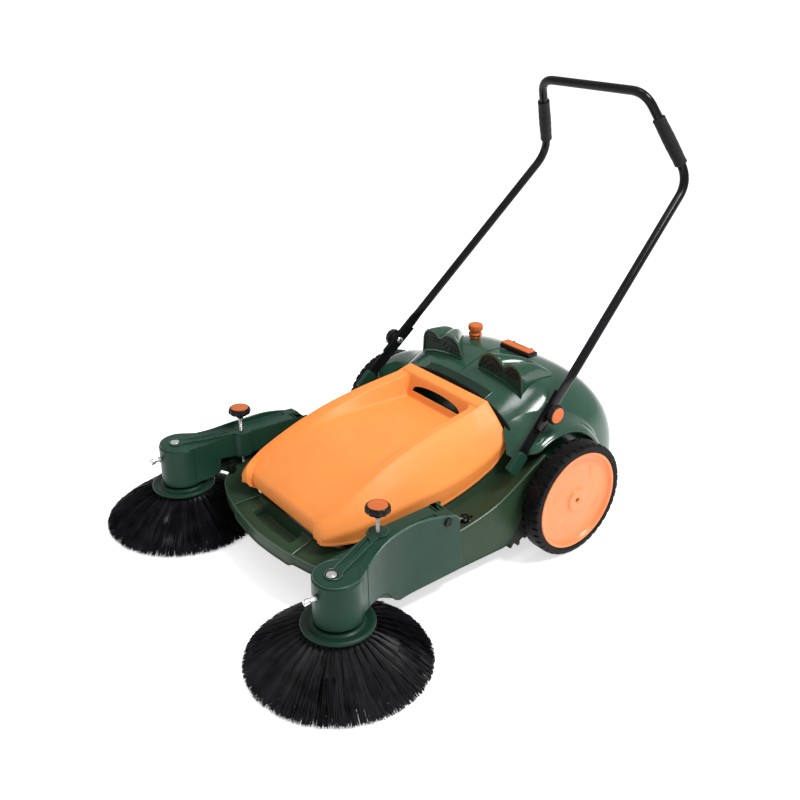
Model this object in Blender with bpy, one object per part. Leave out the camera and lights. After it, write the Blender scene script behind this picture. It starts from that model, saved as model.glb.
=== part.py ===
"""Walk-behind push sweeper: two side brushes, a main roller, a dust hopper and a folding handle.

Machine coordinates: metres, +Z up, floor at z = 0, front of the machine towards -Y, its left side
towards +X, and y = 0 on the wheel axle.  The empty "machine_frame" shifts everything so that the
origin ends up under the middle of the whole machine.
"""
import math

import bmesh
import bpy
from mathutils import Matrix, Vector

# ---------------------------------------------------------------- driving dimensions
AXLE_SHIFT_Y = 0.2020          # puts the origin in the middle of the machine's length
GAP = 0.0004                   # running clearance between neighbouring pieces
SHELL = 0.0035                 # wall of the moulded covers

WHEEL_RADIUS = 0.140
WHEEL_WIDTH = 0.050
WHEEL_X = 0.340
HUB_RADIUS = 0.1195
AXLE = Vector((0.0, 0.0, WHEEL_RADIUS))
AXLE_RADIUS = 0.010

ROLLER = Vector((0.0, -0.125, 0.079))
ROLLER_RADIUS = 0.075
ROLLER_HALF = 0.205
CORE_RADIUS = 0.030
FRAME_X = 0.220                # inner face of the rear frame's side plates
GEAR_X = 0.289                 # middle of the spur gears
GEAR_WIDTH = 0.012
GEAR_RATIO = 2.0
PINION_TEETH = 12

SIDE_X = 0.300                 # outer face of the chassis sides
BAY_X = 0.214                  # half width of the hopper bay
NOSE_Y = -0.640
PANEL_END_Y = -0.135
SKIRT_Z = 0.045

LID_HALF = 0.220
LID_REAR = Vector((0.126, -0.091, 0.338))
LID_NOSE = Vector((0.166, -0.556, 0.196))
LID_HINGE = Vector((0.0, -0.562, 0.146))

HOOD_HALF = 0.280
HOOD_REAR_Y = 0.298
HOOD_BASE_Z = 0.100
HOOD_TOP_Z = 0.3855
HOOD_FRONT_Y = -0.086
HOOD_STEPS = 7
SLEEVE_HOLE = 0.022

VENT_FRONT_Y = -0.022
VENT_TAIL_Y = 0.128
FILLER = Vector((-0.0940, 0.080, 0.3825))
LATCH = Vector((0.047, 0.080, 0.3855))
LATCH_HALF = 0.050

ARM_PIVOT = Vector((0.290, -0.359, 0.198))
ARM_INNER_X = 0.262
ARM_OUTER_X = 0.318
ARM_WALL = 0.004
BOSS = Vector((0.336, -0.652, 0.0))
BOSS_RADIUS = 0.050
BOSS_TOP = 0.207
BOSS_BOTTOM = 0.107
ADJUSTER = Vector((0.281, -0.514, 0.0))
KNOB_TOP_Z = 0.282
BOLT_OFFSET = 0.012            # the boss bolt sits this far in front of the boss's middle
NOZZLE_BASE = Vector((BOSS.x + 0.003, BOSS.y - 0.044, 0.176))
NOZZLE_AIM = Vector((0.0, -1.0, -0.06))

BEVEL_NEAR = 0.010             # distance of a bevel gear's small end from its cone's tip
BEVEL_FAR = 0.018              # distance of its large end
BEVEL_HALF_ANGLE = math.radians(41.0)
BEVEL_TIP = Vector((0.258, ROLLER.y, ROLLER.z))

BRUSH_RADIUS = 0.193
FLANGE_RADIUS = 0.0755
FLANGE_TOP_Z = 0.101
BEVEL_APEX_BOSS = Vector((BOSS.x, BOSS.y, 0.172))

HANDLE_PIVOT = Vector((0.0, -0.030, 0.344))
HANDLE_X = 0.2810
TUBE_RADIUS = 0.0118
LOW_BEND = Vector((0.2309, 0.4445, 0.7976))
TOP_BEND = Vector((0.1619, 0.3332, 0.9971))
GRIP_RADIUS = 0.0160

CASTOR = Vector((0.130, -0.480, 0.0205))
CASTOR_RADIUS = 0.0200

# ---------------------------------------------------------------- finishes
FINISHES = {
    "green_plastic": ((0.016, 0.050, 0.030), 0.35, 0.0),
    "orange_plastic": ((0.930, 0.300, 0.060), 0.42, 0.0),
    "orange_insert": ((0.850, 0.190, 0.040), 0.45, 0.0),
    "black_plastic": ((0.012, 0.012, 0.013), 0.45, 0.0),
    "black_paint": ((0.010, 0.010, 0.011), 0.25, 0.0),
    "grip_foam": ((0.014, 0.014, 0.014), 0.90, 0.0),
    "tyre_rubber": ((0.015, 0.015, 0.015), 0.80, 0.0),
    "bristle_nylon": ((0.010, 0.010, 0.012), 0.55, 0.0),
    "steel": ((0.560, 0.560, 0.560), 0.30, 1.0),
    "chrome": ((0.800, 0.800, 0.800), 0.10, 1.0),
    "gear_nylon": ((0.600, 0.580, 0.520), 0.50, 0.0),
}

for old in list(bpy.data.objects):
    bpy.data.objects.remove(old, do_unlink=True)

MACHINE = bpy.data.objects.new("machine_frame", None)
MACHINE.location = (0.0, AXLE_SHIFT_Y, 0.0)
bpy.context.collection.objects.link(MACHINE)


# ---------------------------------------------------------------- tools
def finish_material(name, finish):
    """A Principled material for one piece."""
    colour, roughness, metallic = FINISHES[finish]
    material = bpy.data.materials.new(name + "_" + finish)
    material.use_nodes = True
    shader = material.node_tree.nodes["Principled BSDF"]
    shader.inputs["Base Color"].default_value = (*colour, 1.0)
    shader.inputs["Roughness"].default_value = roughness
    shader.inputs["Metallic"].default_value = metallic
    return material


def make_piece(name, bm, finish, origin=(0.0, 0.0, 0.0), side=1, smooth=30.0):
    """Turn a bmesh in machine coordinates into a piece whose origin is the given point."""
    origin = Vector(origin)
    if side < 0:
        bmesh.ops.scale(bm, vec=(-1.0, 1.0, 1.0), verts=bm.verts)
        bmesh.ops.reverse_faces(bm, faces=bm.faces)
        origin.x = -origin.x
    bmesh.ops.translate(bm, vec=-origin, verts=bm.verts)
    mesh = bpy.data.meshes.new(name)
    bm.to_mesh(mesh)
    bm.free()
    mesh.shade_smooth()
    mesh.set_sharp_from_angle(angle=math.radians(smooth))
    piece = bpy.data.objects.new(name, mesh)
    piece.location = origin
    piece.parent = MACHINE
    if finish:
        mesh.materials.append(finish_material(name, finish))
    bpy.context.collection.objects.link(piece)
    return piece


def make_cutter(name, bm, side=1):
    """A helper solid that only shapes other pieces."""
    cutter = make_piece(name, bm, None, side=side)
    cutter.hide_render = True
    cutter.display_type = "WIRE"
    return cutter


def combine(piece, other, operation="DIFFERENCE"):
    """Boolean modifier with the exact solver."""
    modifier = piece.modifiers.new(operation.lower(), "BOOLEAN")
    modifier.object = other
    modifier.operation = operation
    modifier.solver = "EXACT"


def solidify(piece, thickness):
    """Thicken an open sheet inwards."""
    modifier = piece.modifiers.new("wall", "SOLIDIFY")
    modifier.thickness = thickness
    modifier.offset = -1.0
    modifier.use_even_offset = True


def axis_matrix(centre, axis):
    """Places a shape made along +Z with its base at the centre, pointing along the axis."""
    turn = Vector(axis).to_track_quat("Z", "Y").to_matrix().to_4x4()
    return Matrix.Translation(Vector(centre)) @ turn


def lathe(profile, centre=(0, 0, 0), axis=(0, 0, 1), segments=20, closed=False):
    """Turned shape.  Rows are (radius, height) or (radius, height, tooth depth).

    The rows run from the lower end to the upper end on the outside.  An open profile starts and
    ends on the axis; a closed one is a ring and comes back along its bore.
    """
    bm = bmesh.new()
    rings = []
    for row in profile:
        radius, height = row[0], row[1]
        depth = row[2] if len(row) > 2 else 0.0
        if radius <= 0.0:
            rings.append([bm.verts.new((0.0, 0.0, height))] * segments)
            continue
        ring = []
        for i in range(segments):
            angle = math.tau * i / segments
            reach = radius - depth * (i % 2)
            ring.append(bm.verts.new((reach * math.cos(angle), reach * math.sin(angle), height)))
        rings.append(ring)
    pairs = list(zip(rings, rings[1:]))
    if closed:
        pairs.append((rings[-1], rings[0]))
    for low, high in pairs:
        for i in range(segments):
            j = (i + 1) % segments
            corners = [low[i], low[j], high[j], high[i]]
            corners = list(dict.fromkeys(corners))
            if len(corners) > 2:
                bm.faces.new(corners)
    bmesh.ops.transform(bm, matrix=axis_matrix(centre, axis), verts=bm.verts)
    return bm


def rod(start, end, radius, segments=12):
    """Plain round bar between two points."""
    start, end = Vector(start), Vector(end)
    length = (end - start).length
    rows = [(0.0, 0.0), (radius, 0.0), (radius, length), (0.0, length)]
    return lathe(rows, start, end - start, segments)


def prism(outline, low, high, axis="z"):
    """Extrude a counter-clockwise outline.  axis x takes (y, z) outlines, axis z takes (x, y)."""
    bm = bmesh.new()
    layers = []
    for level in (low, high):
        if axis == "z":
            layers.append([bm.verts.new((a, b, level)) for a, b in outline])
        else:
            layers.append([bm.verts.new((level, a, b)) for a, b in outline])
    count = len(outline)
    for i in range(count):
        j = (i + 1) % count
        bm.faces.new((layers[0][i], layers[0][j], layers[1][j], layers[1][i]))
    bm.faces.new(list(reversed(layers[0])))
    bm.faces.new(layers[1])
    return bm


def box(low, high, bevel=0.0):
    """Box between two corners, its edges rounded by the bevel."""
    bm = prism([(low[0], low[1]), (high[0], low[1]), (high[0], high[1]), (low[0], high[1])],
               low[2], high[2])
    if bevel > 0.0:
        bmesh.ops.bevel(bm, geom=list(bm.edges), offset=bevel, segments=2, affect="EDGES",
                        profile=0.5)
    return bm


def sweep(stations):
    """Skin closed sections.  A station is (centre, width direction, thick direction, a, b, n)."""
    bm = bmesh.new()
    rings = []
    for centre, wide, thick, half_wide, half_thick, count in stations:
        ring = []
        for i in range(count):
            angle = math.tau * (i + 0.5) / count
            offset = wide * half_wide * math.cos(angle) + thick * half_thick * math.sin(angle)
            ring.append(bm.verts.new(centre + offset))
        rings.append(ring)
    for low, high in zip(rings, rings[1:]):
        for i in range(len(low)):
            j = (i + 1) % len(low)
            bm.faces.new((low[i], low[j], high[j], high[i]))
    bm.faces.new(list(reversed(rings[0])))
    bm.faces.new(rings[-1])
    bmesh.ops.recalc_face_normals(bm, faces=bm.faces)
    return bm


def grid_sheet(rows):
    """Open sheet through rows of points, each row having the same number of points."""
    bm = bmesh.new()
    grid = [[bm.verts.new(point) for point in row] for row in rows]
    for near, far in zip(grid, grid[1:]):
        for i in range(len(near) - 1):
            bm.faces.new((near[i], near[i + 1], far[i + 1], far[i]))
    return bm


def gear_outline(teeth, pitch_radius, phase):
    """Radius and angle of a spur gear's outline, four points a tooth."""
    module = 2.0 * pitch_radius / teeth
    tip = pitch_radius + 0.60 * module
    root = pitch_radius - 0.85 * module
    points = []
    for i in range(teeth):
        middle = phase + math.tau * i / teeth
        for share, radius in ((-0.27, root), (-0.11, tip), (0.11, tip), (0.27, root)):
            angle = middle + share * math.tau / teeth
            points.append((radius * math.cos(angle), radius * math.sin(angle)))
    return points


def gear(teeth, pitch_radius, bore, phase, centre):
    """Spur gear about the X axis, centred on its width."""
    bm = bmesh.new()
    outline = gear_outline(teeth, pitch_radius, phase)
    loops = []
    for level in (centre.x - GEAR_WIDTH / 2, centre.x + GEAR_WIDTH / 2):
        outer = [bm.verts.new((level, centre.y + a, centre.z + b)) for a, b in outline]
        inner = []
        for a, b in outline:
            scale = bore / math.hypot(a, b)
            inner.append(bm.verts.new((level, centre.y + a * scale, centre.z + b * scale)))
        loops.append((outer, inner))
    (outer_low, inner_low), (outer_high, inner_high) = loops
    count = len(outline)
    for i in range(count):
        j = (i + 1) % count
        bm.faces.new((outer_low[i], outer_low[j], outer_high[j], outer_high[i]))
        bm.faces.new((inner_low[j], inner_low[i], inner_high[i], inner_high[j]))
        bm.faces.new((outer_high[i], outer_high[j], inner_high[j], inner_high[i]))
        bm.faces.new((outer_low[j], outer_low[i], inner_low[i], inner_low[j]))
    return bm


def blend(table, value):
    """Straight-line reading of a short list of (place, height) pairs."""
    if value <= table[0][0]:
        return table[0][1]
    for (a, low), (b, high) in zip(table, table[1:]):
        if value <= b:
            return low + (high - low) * (value - a) / (b - a)
    return table[-1][1]


def side_name(base, side):
    """Name of a left or right piece."""
    return base + ("_left" if side > 0 else "_right")


# ---------------------------------------------------------------- wheels and axle
def make_wheels():
    half = WHEEL_WIDTH / 2
    tyre = [(HUB_RADIUS + GAP, -0.96 * half), (0.957 * WHEEL_RADIUS, -half),
            (0.989 * WHEEL_RADIUS, -0.8 * half), (WHEEL_RADIUS, -0.5 * half),
            (WHEEL_RADIUS, 0.5 * half), (0.989 * WHEEL_RADIUS, 0.8 * half),
            (0.957 * WHEEL_RADIUS, half), (HUB_RADIUS + GAP, 0.96 * half)]
    sleeve = WHEEL_X - GEAR_X + GEAR_WIDTH / 2
    bore = AXLE_RADIUS + GAP
    hub = [(0.016, -sleeve), (0.016, 0.004), (0.106, 0.006),
           (0.112, -0.90 * half), (HUB_RADIUS, -0.90 * half), (HUB_RADIUS, 0.94 * half),
           (0.114, 0.94 * half), (0.106, 0.55 * half), (0.024, 0.0165), (0.020, 0.0225),
           (0.003, 0.0225), (0.003, 0.006), (bore, 0.006), (bore, -sleeve)]
    for side in (1, -1):
        centre = Vector((WHEEL_X, AXLE.y, AXLE.z))
        make_piece(side_name("tyre", side), lathe(tyre, centre, (1, 0, 0), 30, closed=True),
                   "tyre_rubber", centre, side)
        make_piece(side_name("wheel_hub", side), lathe(hub, centre, (1, 0, 0), 30, closed=True),
                   "orange_plastic", centre, side)
    reach = WHEEL_X + 0.004
    make_piece("axle", rod((-reach, AXLE.y, AXLE.z), (reach, AXLE.y, AXLE.z), AXLE_RADIUS, 16),
               "steel")


def make_spur_gears():
    spacing = (AXLE - ROLLER).length
    pinion_radius = spacing / (1.0 + GEAR_RATIO)
    wheel_radius = spacing - pinion_radius
    toward_roller = math.atan2(ROLLER.z - AXLE.z, ROLLER.y - AXLE.y)
    centre = Vector((GEAR_X, AXLE.y, AXLE.z))
    teeth = int(PINION_TEETH * GEAR_RATIO)
    make_piece("wheel_gear", gear(teeth, wheel_radius, 0.016 + GAP, toward_roller, centre),
               "gear_nylon", centre)
    centre = Vector((GEAR_X, ROLLER.y, ROLLER.z))
    half_tooth = math.pi / PINION_TEETH
    make_piece("roller_gear",
               gear(PINION_TEETH, pinion_radius, 0.006 + GAP, toward_roller + half_tooth, centre),
               "gear_nylon", centre)


# ---------------------------------------------------------------- main roller and rear frame
def bevel_rows(slope, shaft, tip):
    """Rows of a toothed bevel gear on a shaft, above its cone's tip at the given height."""
    step = 0.0001
    return [(shaft, tip + BEVEL_NEAR - step), (BEVEL_NEAR * slope, tip + BEVEL_NEAR, 0.0012),
            (BEVEL_FAR * slope, tip + BEVEL_FAR, 0.0016), (shaft, tip + BEVEL_FAR + step)]


def make_roller():
    ribs = [(ROLLER_RADIUS, -ROLLER_HALF, 0.006), (ROLLER_RADIUS, ROLLER_HALF, 0.006),
            (CORE_RADIUS + GAP, ROLLER_HALF), (CORE_RADIUS + GAP, -ROLLER_HALF)]
    make_piece("roller_bristles", lathe(ribs, ROLLER, (1, 0, 0), 24, closed=True),
               "bristle_nylon", ROLLER)
    shaft = 0.006
    reach = ROLLER_HALF + 0.004
    bevel = bevel_rows(math.tan(BEVEL_HALF_ANGLE), shaft, BEVEL_TIP.x)
    end = GEAR_X + GEAR_WIDTH / 2
    right_end = BEVEL_TIP.x + BEVEL_FAR + 0.003
    right = [(row[0], -row[1], *row[2:]) for row in reversed(bevel)]
    rows = [(0.0, -right_end), (shaft, -right_end), *right,
            (shaft, -reach), (CORE_RADIUS, -reach), (CORE_RADIUS, reach), (shaft, reach), *bevel,
            (shaft, end), (0.0, end)]
    make_piece("roller_core", lathe(rows, ROLLER, (1, 0, 0), 16), "black_plastic", ROLLER)


def make_rear_frame():
    """Tunnel over the roller with a side plate at each end, which carry roller and axle."""
    arc = [math.radians(angle) for angle in range(-8, 147, 14)]
    inner, outer = ROLLER_RADIUS + 0.008, ROLLER_RADIUS + 0.012
    tunnel = [(ROLLER.y + outer * math.cos(a), ROLLER.z + outer * math.sin(a)) for a in arc]
    tunnel += [(ROLLER.y + inner * math.cos(a), ROLLER.z + inner * math.sin(a))
               for a in reversed(arc)]
    plate = [(-0.215, 0.050), (0.235, 0.085), (0.235, 0.150), (0.080, 0.200), (-0.020, 0.200),
             (-0.100, 0.160), (-0.205, 0.135)]
    frame = make_piece("rear_frame", prism(tunnel, -FRAME_X - 0.001, FRAME_X + 0.001, "x"),
                       "black_plastic")
    thickness = 0.008
    for side in (1, -1):
        combine(frame, make_cutter(side_name("frame_plate", side),
                                   prism(plate, FRAME_X, FRAME_X + thickness, "x"), side), "UNION")
    reach = FRAME_X + 0.05
    beam = box((-FRAME_X - 0.001, 0.170, 0.085), (FRAME_X + 0.001, 0.200, 0.115))
    combine(frame, make_cutter("frame_beam", beam), "UNION")
    for name, centre, radius in (("axle_hole", AXLE, AXLE_RADIUS), ("roller_hole", ROLLER, 0.006)):
        start, end = centre + Vector((-reach, 0, 0)), centre + Vector((reach, 0, 0))
        combine(frame, make_cutter(name, rod(start, end, radius + GAP, 16)))


# ---------------------------------------------------------------- chassis, hopper and lid
RIM_HEIGHTS = [(-0.64, 0.122), (-0.58, 0.122), (-0.45, 0.130), (-0.30, 0.146), (-0.244, 0.153),
               (-0.185, 0.172), (-0.126, 0.208), (-0.055, 0.250)]
BAY_HEIGHTS = [(-0.56, 0.133), (-0.45, 0.136), (-0.30, 0.146), (-0.20, 0.165), (-0.10, 0.195)]
LID_LOW_HEIGHTS = [(-0.575, 0.1495), (-0.45, 0.148), (-0.30, 0.156), (-0.20, 0.178), (-0.12, 0.204),
                   (-0.09, 0.238)]


def chassis_stations():
    """Rim point and bay point of the chassis from the rear right corner round to the rear left."""
    rim = [(0.0, NOSE_Y), (0.118, -0.629), (0.130, -0.626), (0.190, -0.612), (0.250, -0.583),
           (0.284, -0.530), (SIDE_X, -0.450), (SIDE_X, -0.350), (SIDE_X, -0.275), (SIDE_X, -0.205),
           (SIDE_X, -0.150), (SIDE_X, -0.100), (SIDE_X, -0.055)]
    bay = [(0.0, -0.560), (0.100, -0.558), (0.120, -0.557), (0.160, -0.551), (0.190, -0.530),
           (0.208, -0.490), (BAY_X, -0.430), (BAY_X, -0.350), (BAY_X, -0.275), (BAY_X, -0.205),
           (BAY_X, -0.150), (BAY_X, -0.115), (BAY_X, -0.095)]
    left = list(zip(rim, bay))
    right = [((-r[0], r[1]), (-b[0], b[1])) for r, b in reversed(left[1:])]
    return right + left


def make_chassis():
    rows = [[], [], [], []]
    for rim, bay in chassis_stations():
        bay_z = blend(BAY_HEIGHTS, bay[1])
        rim_z = blend(RIM_HEIGHTS, rim[1])
        skirt_z = SKIRT_Z
        if rim[1] < -0.5:
            skirt_z = 0.098
        if abs(rim[0]) < 0.125 and rim[1] < -0.5:
            skirt_z = 0.090
        skirt_y = rim[1]
        if rim[1] > PANEL_END_Y:
            skirt_y = PANEL_END_Y + 0.25 * (rim[1] - PANEL_END_Y)
            skirt_z = SKIRT_Z + 0.9 * (rim[1] - PANEL_END_Y)
        rows[0].append((bay[0], bay[1], bay_z - 0.012))
        rows[1].append((bay[0], bay[1], bay_z))
        rows[2].append((rim[0], rim[1], rim_z))
        rows[3].append((rim[0] * 0.995, skirt_y, skirt_z))
    chassis = make_piece("chassis_shell", grid_sheet(list(reversed(rows))), "green_plastic")
    solidify(chassis, SHELL)
    for side in (1, -1):
        line = (BEVEL_TIP - ARM_PIVOT).normalized()
        centre = BEVEL_TIP.lerp(ARM_PIVOT, 0.61)
        hole = lathe([(0.0, -0.04), (0.0085, -0.04), (0.0085, 0.04), (0.0, 0.04)], centre, line, 16)
        combine(chassis, make_cutter(side_name("shaft_slot", side), hole, side))


def make_hopper():
    """Open-topped dust hopper that stands in the bay."""
    outer = box((-0.188, -0.525, 0.058), (0.188, -0.238, 0.128), 0.010)
    inner = box((-0.185, -0.522, 0.061), (0.185, -0.241, 0.200), 0.008)
    hopper = make_piece("dust_hopper", outer, "black_plastic")
    combine(hopper, make_cutter("hopper_inside", inner))
    mouth = box((-0.170, -0.260, 0.085), (0.170, -0.200, 0.200))
    combine(hopper, make_cutter("hopper_mouth", mouth))


def lid_rows():
    """Rows of the lid's outer face from its nose to its rear edge, right edge to left edge."""
    nose, rear = LID_NOSE, LID_REAR
    rows = []
    # (y, crest height, tray height, share of the full half width, how far the side drops)
    spine = [(-0.5745, 0.152, 0.152, 0.76, 0.02), (-0.577, 0.172, 0.172, 0.765, 0.35),
             (-0.566, 0.192, 0.190, 0.80, 0.75), (-0.540, 0.209, 0.203, 0.87, 1.0),
             (-0.50, 0.231, 0.220, 0.94, 1.0), (-0.43, 0.263, 0.247, 1.0, 1.0),
             (-0.35, 0.291, 0.268, 1.0, 1.0), (-0.26, 0.310, 0.279, 1.0, 1.0),
             (-0.18, 0.320, 0.284, 1.0, 1.0), (-0.132, 0.329, 0.290, 1.0, 1.0),
             (-0.110, 0.335, 0.332, 0.99, 1.0), (rear.y, rear.z, rear.z, 0.97, 1.0)]
    for y, crest, tray, share, drop in spine:
        along = (y - nose.y) / (rear.y - nose.y)
        crest_x = (nose.x + (rear.x + 0.012 - nose.x) * along) * min(1.0, share + 0.08)
        edge_x = LID_HALF * share
        low = min(blend(LID_LOW_HEIGHTS, y), crest)
        side = [(edge_x, low), (edge_x - 0.004, low + 0.45 * (crest - low)),
                (crest_x + 0.030, crest - 0.022 * drop), (crest_x, crest),
                (crest_x - 0.022, crest - 0.20 * (crest - tray)), (crest_x - 0.045, tray)]
        middle = [(0.5 * (crest_x - 0.045), tray), (0.0, tray)]
        left = side + middle
        rows.append([(-x, y, z) for x, z in left] + [(x, y, z) for x, z in reversed(left[:-1])])
    return rows


def make_lid():
    lid = make_piece("lid", grid_sheet(lid_rows()), "orange_plastic", LID_HINGE)
    solidify(lid, SHELL)
    slot = box((-0.086, -0.1275, 0.250), (0.086, -0.1145, 0.360))
    combine(lid, make_cutter("finger_slot", slot))
    pin_half = 0.100
    start, end = LID_HINGE + Vector((-pin_half, 0, 0)), LID_HINGE + Vector((pin_half, 0, 0))
    make_piece("lid_hinge_pin", rod(start, end, 0.003), "steel")


# ---------------------------------------------------------------- rear hood and what is on it
def hood_section(y):
    """Half width, height and roundness of the hood's cross-section at one place along it."""
    share = min(max(y, 0.0) / HOOD_REAR_Y, 0.999)
    high = (1.0 - share ** 2.6) ** (1.0 / 2.6)
    wide = (1.0 - share ** 4.4) ** (1.0 / 4.4)
    fall = 0.048 * max(0.0, (0.05 - y) / 0.136) ** 1.3
    power = 3.2 - 0.6 * min(1.0, max(0.0, (0.03 - y) / 0.116))
    return HOOD_HALF * wide, (HOOD_TOP_Z - HOOD_BASE_Z - fall) * high, power


def hood_height(x, y):
    """Height of the hood's outer face above the floor."""
    half, height, power = hood_section(y)
    return HOOD_BASE_Z + height * (1.0 - abs(x / half) ** power) ** (1.0 / power)


def hood_rows():
    """Rows of the hood's outer face, front to rear, each from its right edge to its left."""
    places = [HOOD_FRONT_Y, -0.050, -0.010, 0.030]
    places += [HOOD_REAR_Y * share for share in (0.25, 0.42, 0.58, 0.71, 0.82, 0.90, 0.955, 0.985, 0.999)]
    rows = []
    for y in places:
        half, height, power = hood_section(y)
        row = []
        for step in range(-HOOD_STEPS, HOOD_STEPS + 1):
            turn = math.pi / 2 * step / HOOD_STEPS
            across = math.copysign(abs(math.sin(turn)) ** (2.0 / power), step)
            up = max(math.cos(turn), 0.0) ** (2.0 / power)
            row.append((half * across, y, HOOD_BASE_Z + height * up))
        rows.append(row)
    return rows


def make_hood():
    """Moulded shell with an inner wall behind the lid and a hole for each wheel's sleeve."""
    rows = hood_rows()
    wall = [(x * 0.96, y + 0.010, max(HOOD_BASE_Z + 0.002, z - 0.095)) for x, y, z in rows[0]]
    hood = make_piece("rear_hood", grid_sheet([wall] + rows), "green_plastic", smooth=40.0)
    solidify(hood, SHELL)
    sleeves = rod((-HOOD_HALF - 0.030, AXLE.y, AXLE.z), (HOOD_HALF + 0.030, AXLE.y, AXLE.z),
                  SLEEVE_HOLE, 16)
    combine(hood, make_cutter("sleeve_holes", sleeves))
    reach, inner, front, rear = 0.320, 0.203, -0.130, -0.0385
    slant = 0.007
    corners = prism([(-reach, front), (reach, front), (reach, rear + slant), (inner, rear),
                     (inner, front + 0.010), (-inner, front + 0.010), (-inner, rear),
                     (-reach, rear + slant)], 0.050, 0.264)
    combine(hood, make_cutter("hood_corners", corners))
    hole = rod(FILLER + Vector((0, 0, -0.05)), FILLER + Vector((0, 0, 0.05)), 0.0125, 16)
    combine(hood, make_cutter("filler_hole", hole))


def vent_arch():
    """Double arch of a vent cowl's front in (x, z), from its outer foot to its inner foot."""
    arches = ((0.150, 0.038, 0.411, range(0, 139, 23)), (0.075, 0.048, 0.418, range(42, 181, 23)))
    points = []
    for centre, half, top, angles in arches:
        for turn in (math.radians(angle) for angle in angles):
            points.append((centre + half * math.cos(turn), top - half + half * math.sin(turn)))
    return points


def make_vents():
    """Twin-arched cowls that lie on the hood and run out to a point behind."""
    arch = vent_arch()
    outer_x, inner_x = arch[0][0], arch[-1][0]
    clearance = 0.0022
    for side in (1, -1):
        bm = bmesh.new()
        rings = []
        for along in (0.0, 0.22, 0.45, 0.70, 1.0):
            y = VENT_FRONT_Y + (VENT_TAIL_Y - VENT_FRONT_Y) * along
            middle = 0.115 + 0.047 * along
            narrow = 1.0 - 0.90 * along ** 0.75
            low = (1.0 - along) ** 0.9 + 0.05 * along
            foot_count = 6
            feet = [inner_x + (outer_x - inner_x) * i / foot_count for i in range(1, foot_count)]
            ring = []
            for x, z in arch + [(foot, None) for foot in feet]:
                here = middle + (x - 0.115) * narrow
                rise = 0.0
                if z is not None:
                    rise = (z - hood_height(x, VENT_FRONT_Y)) * low
                    rise = max(rise, 0.003) if outer_x > x > inner_x else 0.0
                ring.append(bm.verts.new((here, y, hood_height(here, y) + clearance + rise)))
            rings.append(ring)
        for near, far in zip(rings, rings[1:]):
            for i in range(len(near)):
                j = (i + 1) % len(near)
                bm.faces.new((near[i], near[j], far[j], far[i]))
        bm.faces.new(rings[0])
        bm.faces.new(list(reversed(rings[-1])))
        bmesh.ops.recalc_face_normals(bm, faces=bm.faces)
        make_piece(side_name("vent_cowl", side), bm, "green_plastic", side=side)


def make_filler():
    """Water filler: neck on the hood, screw cap on the neck, tank below."""
    neck = [(0.0110, -0.050), (0.0118, -0.050), (0.0118, 0.0), (0.0150, 0.0), (0.0150, 0.005),
            (0.0118, 0.006), (0.0118, 0.018), (0.0095, 0.018), (0.0095, -0.050)]
    make_piece("filler_neck", lathe(neck, FILLER, (0, 0, 1), 16, closed=True), "orange_insert")
    cap = [(0.0118 + GAP, 0.010), (0.0175, 0.010), (0.0175, 0.012), (0.0150, 0.014),
           (0.0150, 0.020), (0.0190, 0.023), (0.0190, 0.033), (0.0165, 0.037), (0.0, 0.0375),
           (0.0, 0.019), (0.0118 + GAP, 0.019)]
    make_piece("filler_cap", lathe(cap, FILLER, (0, 0, 1), 16, closed=True), "orange_insert",
               FILLER)
    tank = make_piece("water_tank", box((-0.140, 0.040, 0.240), (0.140, 0.140, 0.340), 0.012),
                      "black_plastic")
    inside = box((-0.137, 0.043, 0.243), (0.137, 0.137, 0.337), 0.010)
    combine(tank, make_cutter("tank_inside", inside))
    hole = rod(FILLER + Vector((0, 0, -0.060)), FILLER, 0.0125, 16)
    combine(tank, make_cutter("tank_hole", hole))


def make_latch():
    """Catch on the hood: a black base with a flat lever hinged along its front edge."""
    base = box((LATCH.x - LATCH_HALF, LATCH.y, LATCH.z - 0.0015),
               (LATCH.x + LATCH_HALF, LATCH.y + 0.034, LATCH.z + 0.010), 0.003)
    make_piece("latch_base", base, "black_plastic")
    hinge = Vector((LATCH.x, LATCH.y + 0.003, LATCH.z + 0.0125))
    lever = box((LATCH.x - LATCH_HALF + 0.002, LATCH.y + 0.0015, LATCH.z + 0.010 + GAP),
                (LATCH.x + LATCH_HALF - 0.002, LATCH.y + 0.030, LATCH.z + 0.0155), 0.002)
    make_piece("latch_lever", lever, "orange_insert", hinge)


# ---------------------------------------------------------------- side arms and side brushes
def arm_outline():
    """Side view of the arm's outer plate in (y, z), starting at its foot beside the boss."""
    return [(-0.590, 0.110), (-0.550, 0.103), (-0.538, 0.103), (-0.524, 0.096), (-0.511, 0.080),
            (-0.500, 0.066), (-0.487, 0.059), (-0.322, 0.063), (-0.312, 0.070), (-0.326, 0.196),
            (-0.336, 0.207), (-0.386, 0.221), (-0.437, 0.2295), (-0.518, 0.2245), (-0.572, 0.2105),
            (-0.595, 0.2055)]


def arm_outer_edge(inset):
    """Plan of the arm's outer face in (x, y), from the plate's rear to the boss."""
    edge = [(ARM_OUTER_X, -0.305), (ARM_OUTER_X, -0.470), (0.3285, -0.530), (0.343, -0.570),
            (0.362, -0.604)]
    return [(x - inset, y) for x, y in edge]


def arm_beam_outline():
    """Plan of the arm's beam in (x, y), from the rear inner corner round to the outer plate."""
    pad = [(ADJUSTER.x + 0.024 * math.cos(a), ADJUSTER.y + 0.024 * math.sin(a))
           for a in (math.radians(angle) for angle in (115, 145, 180, 225, 262))]
    inner = [(ARM_INNER_X, -0.330)] + pad + [(0.286, -0.600), (0.287, -0.652)]
    return inner + [(0.384, -0.650), (0.378, -0.628)] + arm_outer_edge(0.0)[::-1]


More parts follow.
